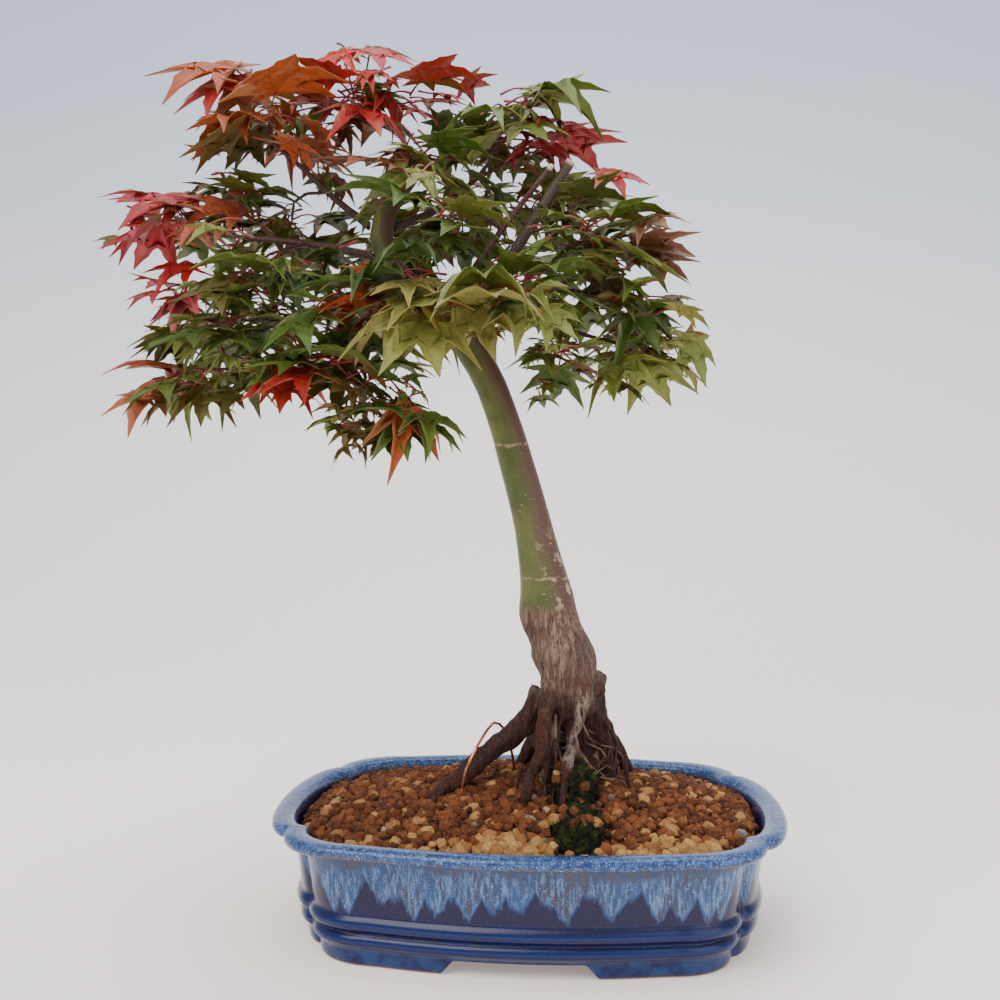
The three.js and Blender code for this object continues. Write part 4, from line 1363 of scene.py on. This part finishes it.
@dataclass
class LeafPattern:
    """A seven-lobed leaf one unit long, drawn out lobe by lobe from a small fan of faces."""

    form: LeafForm
    turns: tuple[float, ...] = (-132, -84, -41, 0, 41, 84, 132)
    reaches: tuple[float, ...] = (0.36, 0.68, 0.92, 1.0, 0.92, 0.68, 0.36)
    waist: float = 0.43
    rows: tuple[tuple[float, float], ...] = (
        (0.5, 0.215),
        (0.53, 0.165),
        (0.67, 0.192),
        (0.7, 0.132),
        (0.83, 0.124),
        (0.86, 0.07),
        (1.0, 0.004),
    )
    short_rows: tuple[tuple[float, float], ...] = ((0.66, 0.19), (1.0, 0.01))
    thickness: float = 0.008

    def fan(self) -> list[tuple[float, float, float]]:
        """The small fan's rim as (x, y, across), from the stalk round to the stalk.

        Returns:
            One row for each point of the rim.
        """
        rim = [(-0.035, 0.0, 0.0)]
        edges = [-172.0, *((a + b) / 2 for a, b in zip(self.turns, self.turns[1:])), 172.0]
        for i, edge in enumerate(edges):
            beside = self.reaches[max(0, i - 1) : i + 1]
            reach = 0.07 if i in (0, len(edges) - 1) else self.waist * min(beside)
            angle = math.radians(edge)
            rim.append((reach * math.cos(angle), reach * math.sin(angle), 1.0))
            if i < len(self.turns):
                angle = math.radians(self.turns[i])
                reach = self.waist * self.reaches[i] * 1.25
                rim.append((reach * math.cos(angle), reach * math.sin(angle), 0.0))
        return rim

    def lobe(self, blade: Piece, index: int) -> None:
        """Draws out one lobe from the fan by extruding its two edges row by row.

        Args:
            blade: The fan that the lobe grows from.
            index: The lobe's number.
        """
        turn = math.radians(self.turns[index])
        reach = self.reaches[index]
        axis = Vector((math.cos(turn), math.sin(turn), 0.0))
        first = 2 + 2 * index
        wanted = np.zeros(len(blade.data.vertices), bool)
        wanted[[first, first + 1, first + 2]] = True
        select_vertices(blade, wanted)
        bpy.ops.mesh.select_mode(type="EDGE")
        points = points_of(blade)
        width = float(np.linalg.norm(points[first] - points[first + 2])) / 2
        middle = Vector(points[first + 1])
        rows = self.rows if reach > 0.5 else self.short_rows
        for share, half in rows:
            goal = axis * share * reach
            bpy.ops.mesh.extrude_edges_move(TRANSFORM_OT_translate={"value": goal - middle})
            size = half * self.form.narrow * (0.45 + 0.55 * reach) / width
            bpy.ops.transform.resize(value=(size, size, 1.0), center_override=goal)
            width *= size
            middle = goal
        deselect()

    def build(self, index: int) -> Piece:
        """Builds the pattern and bends it.

        Args:
            index: The pattern's number.

        Returns:
            The finished pattern.
        """
        rim = self.fan()
        deselect()
        bpy.ops.mesh.primitive_circle_add(vertices=len(rim), radius=1.0, fill_type="TRIFAN")
        blade = added(f"leaf_pattern_{index}")
        centre = int(np.argmin(np.linalg.norm(points_of(blade), axis=1)))
        order = [i for i in range(len(rim) + 1) if i != centre]
        points = np.zeros((len(rim) + 1, 3))
        across = np.zeros(len(rim) + 1)
        for i, (x, y, off) in zip(order, rim):
            points[i] = (x, y, 0.0)
            across[i] = off
        move_points(blade, points)
        mark(blade, "across", across)
        if centre != 0:
            raise ValueError("the fan's middle is expected to be its first vertex")
        for lobe in range(len(self.turns)):
            self.lobe(blade, lobe)
        self.bend(blade)
        work(blade, "SOLIDIFY", thickness=self.thickness, offset=-1.0)
        return blade

    def bend(self, blade: Piece) -> None:
        """Hangs the lobes' tips, folds each lobe along its middle, and maps the leaf.

        Args:
            blade: The flat leaf.
        """
        points = points_of(blade)
        across = marked(blade, "across")
        along = np.linalg.norm(points[:, :2], axis=1)
        turns = np.radians(self.turns)
        axes = np.stack([np.cos(turns), np.sin(turns)])
        nearest = np.argmax(points[:, :2] @ axes, axis=1)
        aside = np.abs(points[:, 0] * axes[1, nearest] - points[:, 1] * axes[0, nearest])
        points[:, 2] = self.form.fold * aside - self.form.sag * along**2
        points[:, 2] += self.form.curl * np.sin(points[:, 1] * 5 + 1.3) * along**2 * 0.2
        points[:, 0] -= self.form.sag * 0.2 * along**3
        move_points(blade, points)
        layer = blade.data.uv_layers.new(name="across_and_along")
        for loop in blade.data.loops:
            layer.data[loop.index].uv = (across[loop.vertex_index], along[loop.vertex_index])


@dataclass
class Leaf:
    """One leaf's place: where its blade starts, the way it points and faces, and its size."""

    base: Vector
    along: Vector
    face: Vector
    size: float
    bud: Vector

    def matrix(self) -> Matrix:
        """The turn, size and place of the leaf's blade.

        Returns:
            The transform from the unit leaf to its place.
        """
        along = self.along.normalized()
        face = (self.face - along * self.face.dot(along)).normalized()
        side = face.cross(along)
        turn = Matrix((along, side, face)).transposed().to_4x4()
        return Matrix.Translation(self.base) @ turn @ Matrix.Scale(self.size, 4)


@dataclass(frozen=True)
class SingleLeaf:
    """A leaf that stands clear of the crown, in millimetres from the pot's middle."""

    branch: str
    base: tuple[float, float, float]
    tip: tuple[float, float, float]
    bud: tuple[float, float, float]
    tone: Tone

    def leaf(self) -> Leaf:
        """The leaf's place, facing up and a little forward."""
        base, tip, bud = (POT_MIDDLE + Vector(p) * MM for p in (self.base, self.tip, self.bud))
        return Leaf(base, (tip - base).normalized(), Vector((0.1, -0.55, 1.0)), (tip - base).length, bud)


SINGLE_LEAVES = (
    SingleLeaf("top", (-139, -14, 404), (-183, -18, 403), (-112, -10, 372), Tone.ORANGE),
    SingleLeaf("top", (-141, -16, 398), (-166, -24, 380), (-112, -10, 372), Tone.RED),
    SingleLeaf("top", (-135, -16, 397), (-128, -22, 372), (-112, -10, 372), Tone.RUST),
    SingleLeaf("top", (-88, -6, 412), (-113, -12, 398), (-84, -2, 392), Tone.RED),
    SingleLeaf("top", (-76, -4, 414), (-52, -10, 404), (-80, -2, 392), Tone.RED),
    SingleLeaf("left_upper", (-166, -6, 343), (-204, -10, 347), (-140, 0, 330), Tone.CRIMSON),
    SingleLeaf("left_upper", (-140, 2, 340), (-172, -6, 349), (-126, 4, 330), Tone.SALMON),
    SingleLeaf("left_middle", (-163, -4, 312), (-189, -8, 312), (-140, 4, 302), Tone.RED),
    SingleLeaf("left_middle", (-162, -6, 298), (-186, -10, 283), (-142, 4, 300), Tone.PINK),
    SingleLeaf("left_low", (-174, -14, 254), (-205, -20, 241), (-140, -12, 253), Tone.SALMON),
    SingleLeaf("left_low", (-110, -34, 262), (-120, -42, 243), (-104, -24, 266), Tone.RED),
    SingleLeaf("left_low", (-80, -36, 260), (-102, -46, 242), (-74, -28, 268), Tone.OLIVE),
    SingleLeaf("front", (-56, -46, 240), (-32, -52, 220), (-58, -36, 244), Tone.ORANGE),
    SingleLeaf("front", (-68, -60, 300), (-50, -70, 284), (-58, -50, 296), Tone.ORANGE),
    SingleLeaf("front", (-40, -66, 290), (-78, -76, 280), (-34, -60, 286), Tone.YELLOW),
    SingleLeaf("front", (-22, -66, 286), (-8, -76, 258), (-30, -60, 286), Tone.YELLOW),
    SingleLeaf("right_upper", (34, -10, 352), (58, -14, 346), (22, -6, 342), Tone.RED),
    SingleLeaf("right_middle", (50, -12, 318), (76, -16, 308), (36, -6, 312), Tone.MAUVE),
    SingleLeaf("right_low", (74, -6, 276), (84, -8, 252), (58, -4, 276), Tone.LIME),
)


@dataclass
class Foliage:
    """All the leaves: those of the frame's clusters, and smaller ones on the shoots between them."""

    forms: tuple[LeafForm, ...] = (
        LeafForm(0.1, 0.3, 0.3, 1.0),
        LeafForm(0.19, 0.45, 0.6, 1.0),
        LeafForm(0.3, 0.6, 0.9, 0.92),
        LeafForm(0.036, 0.25, 0.8, 1.08),
        LeafForm(0.47, 1.0, 1.4, 0.75),
    )
    stalk_share: float = 0.5
    stalk_radius: float = 0.42 * MM
    levelled: float = 0.9
    shoots: int = 5
    seed: int = 3

    def frame_leaves(self, node: str) -> list[Leaf]:
        """Finds the leaves of one of the frame's clusters.

        A leaf's middle is a pair of vertices, one on each side, where its many narrow faces meet.

        Args:
            node: The cluster's CAD node.

        Returns:
            The cluster's leaves.
        """
        probe = copy_of_node(node, "leaf_probe")
        points = points_of(probe)
        near: dict[int, set[int]] = {}
        for edge in probe.data.edges:
            a, b = edge.vertices
            near.setdefault(a, set()).add(b)
            near.setdefault(b, set()).add(a)
        bpy.data.objects.remove(probe)
        hubs = sorted((i for i, others in near.items() if len(others) >= 9), key=lambda i: -len(near[i]))
        leaves: list[Leaf] = []
        while hubs:
            hub = hubs.pop(0)
            twins = [i for i in hubs if np.linalg.norm(points[i] - points[hub]) < 1.8 * MM]
            if not twins:
                continue
            hubs.remove(twins[0])
            base = Vector((points[hub] + points[twins[0]]) / 2)
            around = [Vector(points[i]) - base for i in near[hub]]
            face = Vector(points[hub] - points[twins[0]]).normalized()
            if sum((v.dot(face) for v in around), 0.0) > 0:
                face = -face
            tip = max(around, key=lambda v: v.length)
            along = tip - face * tip.dot(face)
            size = along.length
            along.z = min(along.z, 0.15 * size)
            along.normalize()
            bud = base - along * size * self.stalk_share
            leaves.append(Leaf(base, along, face + UP * self.levelled, size, bud))
        return leaves

    def companions(self, leaf: Leaf, dice: np.random.Generator) -> list[Leaf]:
        """Smaller leaves on short shoots beside a leaf of the frame.

        Args:
            leaf: The leaf they stand beside.
            dice: The seeded source of chance.

        Returns:
            The smaller leaves.
        """
        made = []
        outer = (leaf.base - POT_MIDDLE).x < -150 * MM
        for _ in range(int(dice.integers(0 if outer else 1, 2 if outer else self.shoots))):
            bud = leaf.bud + Vector(dice.normal(size=3)) * 9 * MM
            turn = Matrix.Rotation(dice.uniform(-2.2, 2.2), 3, UP)
            along = turn @ leaf.along
            along.z = dice.uniform(-0.75, 0.25)
            along.normalize()
            size = leaf.size * dice.uniform(0.4, 0.74)
            face = Matrix.Rotation(dice.uniform(-0.6, 0.6), 3, along) @ (UP + leaf.face * 0.5)
            stalk = size * dice.uniform(0.5, 0.9)
            made.append(Leaf(bud + along * stalk, along, face, size, bud))
        return made

    def tone(self, place: Vector, dice: np.random.Generator) -> Tone:
        """Chooses a leaf's colour for a place measured from the pot's middle.

        Args:
            place: The leaf's place, in metres.
            dice: The seeded source of chance.

        Returns:
            The tone.
        """
        eye = Vector(Studio.eye)
        place = eye + (place - eye) * (eye.y / (eye.y - place.y))
        best = max(PATCHES, key=lambda patch: patch.weight(place))
        if dice.random() < 1.35 * best.weight(place):
            return best.tone
        middle = Vector((-60 * MM, 0, 300 * MM))
        out = math.hypot((place.x - middle.x) / 135, (place.z - middle.z) / 105) / MM
        throw = dice.random() * 0.6 + out * 0.55
        if throw < 0.3:
            return Tone.DARK_GREEN
        return Tone.GREEN if throw < 0.66 else (Tone.LIME if throw < 0.9 else Tone.OLIVE)

    def build(self, name: str, nodes: Sequence[str], patterns: Sequence[Piece], seed: int) -> Piece:
        """Builds the leaves and stalks of one branch.

        Args:
            name: The new piece's name.
            nodes: The CAD clusters on the branch.
            patterns: The leaf patterns to copy.
            seed: Starts the branch's own random numbers.

        Returns:
            The blades and stalks as one piece.
        """
        dice = np.random.default_rng(seed)
        leaves = [leaf for node in nodes for leaf in self.frame_leaves(node)]
        leaves += [more for leaf in list(leaves) for more in self.companions(leaf, dice)]
        placed = [(leaf, self.tone(leaf.base - POT_MIDDLE, dice)) for leaf in leaves]
        singles = [single for single in SINGLE_LEAVES if name == "foliage_" + single.branch]
        placed += [(single.leaf(), single.tone) for single in singles]
        shapes = [points_of(p) for p in patterns]
        faces = [list(f.vertices) for f in patterns[0].data.polygons]
        count = len(shapes[0])
        spots = np.empty(len(patterns[0].data.loops) * 2, np.float32)
        patterns[0].data.uv_layers[0].data.foreach_get("uv", spots)
        points, tints, dryness, routes = [], [], [], []
        for leaf, tone in placed:
            shape = shapes[int(dice.choice(len(shapes), p=[0.3, 0.3, 0.18, 0.14, 0.08]))]
            matrix = np.array(leaf.matrix())
            points.append(shape @ matrix[:3, :3].T + matrix[:3, 3])
            a, b = (np.array(rgb(code)) for code in tone.value)
            tint = (a + (b - a) * dice.random()) * dice.uniform(0.85, 1.12)
            tints.append(np.repeat([tint], count, axis=0))
            dryness.append(np.full(count, dice.choice([-0.3, 0.12, 0.34], p=[0.4, 0.36, 0.24])))
            sag = (leaf.bud + leaf.base) / 2 + UP * leaf.size * dice.uniform(-0.02, 0.1)
            routes.append([leaf.bud, sag, leaf.base + leaf.along * leaf.size * 0.02])
        mesh = bpy.data.meshes.new(name)
        corners = [[v + i * count for v in face] for i in range(len(placed)) for face in faces]
        mesh.from_pydata(np.concatenate(points).tolist(), [], corners)
        blades = bpy.data.objects.new(name, mesh)
        bpy.context.scene.collection.objects.link(blades)
        mark_tint(blades, np.concatenate(tints))
        mark(blades, "dryness", np.concatenate(dryness))
        mesh.uv_layers.new(name="across_and_along").data.foreach_set("uv", np.tile(spots, len(placed)))
        radius = self.stalk_radius
        stalks = tubes(name + "_stalks", routes, [[radius * 1.5, radius, radius * 1.1]] * len(routes))
        blades.data.materials.append(FINISHES["leaf"])
        stalks.data.materials.append(FINISHES["stalk"])
        smooth(blades, math.radians(55))
        smooth(stalks)
        return joined([blades, stalks])


FINISHES: dict[str, bpy.types.Material] = {}


# ---- Moss, wire and drain fittings -------------------------------------------------------------


@dataclass(frozen=True)
class MossFinish:
    """Dark green-black moss with brighter tips."""

    dark: Colour = rgb("0d1007")
    green: Colour = rgb("303a14")

    def material(self) -> bpy.types.Material:
        """Builds the moss.

        Returns:
            The finished material.
        """
        s = Shader("moss_green")
        colour = s.mix(s.rise(s.cloud(260, detail=4), 0.4, 0.66), self.dark, self.green)
        colour = s.mix(s.rise(s.cloud(420, detail=4), 0.54, 0.64), colour, rgb("2a1a10"))
        colour = s.mix(s.rise(s.cloud(1500), 0.64, 0.72), colour, rgb("6b5a34"))
        s.relief(s.cloud(1300, detail=5, rough=0.7), 0.9 * MM, 0.9)
        return s.done(Base_Color=colour, Roughness=0.95, Specular_IOR_Level=0.2)


@dataclass
class MossClump:
    """The cushion of moss in front of the roots, with its short sprigs."""

    sprigs: int = 900
    voxel: float = 1.1 * MM
    seed: int = 5

    def build(self) -> Piece:
        """Roughens the CAD clump and covers it with sprigs.

        Returns:
            The rough clump.
        """
        clump = copy_of_node("moss_clump", "moss_cushion")
        work(clump, "REMESH", mode="VOXEL", voxel_size=self.voxel)
        work(clump, "SMOOTH", factor=0.6, iterations=4)
        points = points_of(clump)
        normals = normals_of(clump)
        rises = np.array([noise.fractal(Vector(p) * 150, 0.7, 2.2, 4) for p in points])
        lifts = rises * 2.6 * MM + 0.4 * MM
        points += normals * lifts[:, None]
        move_points(clump, points)
        dice = np.random.default_rng(self.seed)
        chosen = dice.choice(len(points), size=min(self.sprigs, len(points)), replace=False)
        routes = []
        radii = []
        for i in chosen:
            if normals[i][2] < -0.3:
                continue
            root = Vector(points[i]) - Vector(normals[i]) * 0.3 * MM
            lean = Vector(normals[i]) + Vector(dice.normal(size=3)) * 0.45
            tip = root + lean.normalized() * dice.uniform(1.2, 3.2) * MM
            routes.append([root, tip])
            radii.append([0.32 * MM, 0.1 * MM])
        sprigs = tubes("moss_sprigs", routes, radii, sides=0)
        return joined([clump, sprigs])

    def dress(self, clump: Piece) -> None:
        """Greens the moss.

        Args:
            clump: The clump's piece.
        """
        clump.data.materials.clear()
        clump.data.materials.append(MossFinish().material())
        smooth(clump)
        settle(clump, "moss", "moss_clump")


@dataclass(frozen=True)
class WireFinish:
    """Soft drawn wire with a satin skin and slight tarnish."""

    name: str
    bright: Colour
    dull: Colour

    def material(self) -> bpy.types.Material:
        """Builds the metal.

        Returns:
            The finished material.
        """
        s = Shader(self.name)
        worn = s.rise(s.cloud(140, detail=4), 0.38, 0.68)
        s.relief(s.cloud(1.0, s.stretched((300, 300, 2400))), 0.08 * MM, 0.4)
        rough = s.calc("MULTIPLY_ADD", worn, 0.22, 0.22)
        return s.done(Base_Color=s.mix(worn, self.bright, self.dull), Metallic=1.0, Roughness=rough)


@dataclass(frozen=True)
class ScreenFinish:
    """Black moulded plastic with a fine grain and dusty corners."""

    black: Colour = rgb("141615")
    dust: Colour = rgb("5a3a28")

    def material(self) -> bpy.types.Material:
        """Builds the plastic.

        Returns:
            The finished material.
        """
        s = Shader("drain_screen_plastic")
        colour = s.mix(s.rise(s.cloud(180, detail=4), 0.5, 0.75), self.black, self.dust)
        s.relief(s.cloud(2200), 0.1 * MM, 0.5)
        return s.done(Base_Color=colour, Roughness=0.55)


@dataclass
class Wires:
    """The copper-coloured tie wire and pin."""

    voxel: float = 0.28 * MM

    def build(self, node: str) -> Piece:
        """Rounds one wire of the frame.

        Args:
            node: The wire's CAD node.

        Returns:
            The rounded wire.
        """
        wire = copy_of_node(node, node + "_drawn")
        work(wire, "REMESH", mode="VOXEL", voxel_size=self.voxel)
        work(wire, "SMOOTH", factor=0.5, iterations=4)
        return wire

    def dress(self, wire: Piece, node: str, copper: bpy.types.Material) -> None:
        """Gives a wire its metal.

        Args:
            wire: The wire's piece.
            node: The CAD node it replaces.
            copper: The wire's metal.
        """
        wire.data.materials.append(copper)
        smooth(wire)
        settle(wire, "copper_wire", node)


# ---- Studio ------------------------------------------------------------------------------------


@dataclass
class Studio:
    """A pale seamless sweep that glows with painted light, soft lights and the camera."""

    eye: tuple[float, float, float] = (31.0 * MM, -548.3 * MM, 212 * MM)
    gaze: tuple[float, float, float] = (-0.0819, 0.9964, -0.0227)
    focal_share: float = 1.149
    sensor: float = 36.0
    sweep_back: float = 1.5
    sweep_height: float = 2.6

    def camera(self) -> None:
        """Sets the camera in front of the pot, a little above the soil."""
        data = bpy.data.cameras.new("studio_camera")
        data.sensor_width = self.sensor
        data.lens = self.sensor * self.focal_share
        data.clip_start = 0.01
        camera = bpy.data.objects.new("studio_camera", data)
        turn = Vector(self.gaze).to_track_quat("-Z", "Y").to_matrix().to_4x4()
        camera.matrix_world = Matrix.Translation(POT_MIDDLE + Vector(self.eye)) @ turn
        bpy.context.scene.collection.objects.link(camera)
        bpy.context.scene.camera = camera

    def light(
        self, name: str, place: tuple[float, float, float], size: float, power: float, colour: Colour
    ) -> None:
        """Adds a square soft light that faces the tree.

        Args:
            name: The light's name.
            place: Where it stands, from the pot's middle.
            size: The length of its side.
            power: Its power in watts.
            colour: Its colour.
        """
        data = bpy.data.lights.new(name, "AREA")
        data.size = size
        data.energy = power
        data.color = colour
        lamp = bpy.data.objects.new(name, data)
        spot = POT_MIDDLE + Vector(place)
        aim = POT_MIDDLE + Vector((-0.04, 0.0, 0.2)) - spot
        lamp.matrix_world = Matrix.Translation(spot) @ aim.to_track_quat("-Z", "Y").to_matrix().to_4x4()
        bpy.context.scene.collection.objects.link(lamp)

    def sweep(self) -> None:
        """The floor, which curves up into the backdrop, with painted light: it glows, and it darkens and
        turns bluish towards the top.
        """
        deselect()
        bpy.ops.mesh.primitive_plane_add(size=6.0, location=(POT_MIDDLE.x, self.sweep_back - 3.0, 0.0))
        sweep = added("studio_sweep")
        bpy.ops.object.transform_apply(location=True)
        points = points_of(sweep)
        select_vertices(sweep, points[:, 1] > self.sweep_back - 0.01)
        rise = {"value": (0.0, 0.0, self.sweep_height)}
        bpy.ops.mesh.extrude_region_move(TRANSFORM_OT_translate=rise)
        deselect()
        points = points_of(sweep)
        corner = (np.abs(points[:, 1] - self.sweep_back) < 0.01) & (points[:, 2] < 0.01)
        select_vertices(sweep, corner)
        bpy.ops.mesh.bevel(offset=0.9, segments=16, affect="EDGES")
        deselect()
        smooth(sweep)
        s = Shader("studio_paper")
        height = s.axis(2)
        # Painted shade: the paper darkens to bluish grey towards the top, where less light falls.
        tint = s.mix(s.rise(height, 0.02, 1.1), rgb("f8f0e8"), rgb("b9c3d6"))
        # Painted light: the paper glows, warm near the floor and bluish higher up, though it is no lamp.
        stops = [(0.0, rgb("ffe9d4")), (0.3, rgb("cfe8f2")), (1.0, rgb("c9cfe8"))]
        glow = s.ramp(s.rise(height, 0.0, 1.3), stops)
        surface_and_painted_glow = {"Roughness": 0.9, "Specular_IOR_Level": 0.1, "Emission_Strength": 0.3}
        paper = s.done(Base_Color=tint, Emission_Color=glow, **surface_and_painted_glow)
        sweep.data.materials.append(paper)

    def build(self) -> None:
        """Sets up the whole studio."""
        self.camera()
        self.sweep()
        self.light("key_softbox", (-0.6, -0.9, 1.35), 1.1, 22.0, (1.0, 0.98, 0.95))
        self.light("fill_softbox", (1.0, -0.8, 0.7), 1.2, 7.0, (0.95, 0.97, 1.0))
        self.light("top_softbox", (0.0, 0.25, 1.5), 1.2, 16.0, (1.0, 1.0, 1.0))
        world = bpy.data.worlds.new("studio_air")
        world.use_nodes = True
        world.node_tree.nodes["Background"].inputs[0].default_value = (0.86, 0.92, 1.0, 1.0)
        world.node_tree.nodes["Background"].inputs[1].default_value = 0.75
        bpy.context.scene.world = world


# ---- The whole ---------------------------------------------------------------------------------


def build_foliage() -> None:
    """Builds the leaves of every branch from a few patterns."""
    FINISHES["leaf"] = LeafFinish().material()
    FINISHES["stalk"] = StalkFinish().material()
    foliage = Foliage()
    patterns = [LeafPattern(form).build(i) for i, form in enumerate(foliage.forms)]
    branches = sorted(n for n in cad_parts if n.startswith("branch_"))
    for i, node in enumerate(branches):
        stem = node.replace("branch_", "leaves_")
        clusters = sorted(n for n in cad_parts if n.rsplit("_", 1)[0] == stem)
        leaves = foliage.build("foliage_" + stem[len("leaves_") :], clusters, patterns, foliage.seed + i)
        settle(leaves, "leaf_green", *clusters)
    for pattern in patterns:
        bpy.data.objects.remove(pattern)


def dress_fittings() -> None:
    """Gives the drain screens and clips, whose shapes are right in the frame, their materials."""
    screen = ScreenFinish().material()
    steel = WireFinish("clip_wire_steel", rgb("b8b8b6"), rgb("6e6a66")).material()
    for node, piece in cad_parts.items():
        finish = None
        if node.startswith("drain_screen"):
            finish = screen
        elif node.startswith("screen_clip"):
            finish = steel
        if finish:
            piece.data.materials.clear()
            piece.data.materials.append(finish)


def main() -> None:
    """Builds the tree, its pot and the studio."""
    logging.basicConfig(level=logging.INFO, format="%(name)s %(message)s", stream=sys.stdout)
    Studio().build()
    pot = GlazedPot()
    pot.dress(pot.build())
    soil = SoilBed()
    soil.dress(soil.bed(), soil.scatter())
    moss = MossClump()
    moss.dress(moss.build())
    trunk = Trunk()
    trunk.dress(trunk.build(), trunk.hang_roots())
    branches = Branches()
    bark = TwigBark().material()
    for node in sorted(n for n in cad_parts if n.startswith("branch_")):
        branches.dress(branches.build(node), node, bark)
    wires = Wires()
    copper = WireFinish("copper_coloured_wire", rgb("d98a68"), rgb("8a4a38")).material()
    for node in ("tie_wire", "soil_pin"):
        wires.dress(wires.build(node), node, copper)
    build_foliage()
    dress_fittings()


if __name__ == "__main__":
    main()
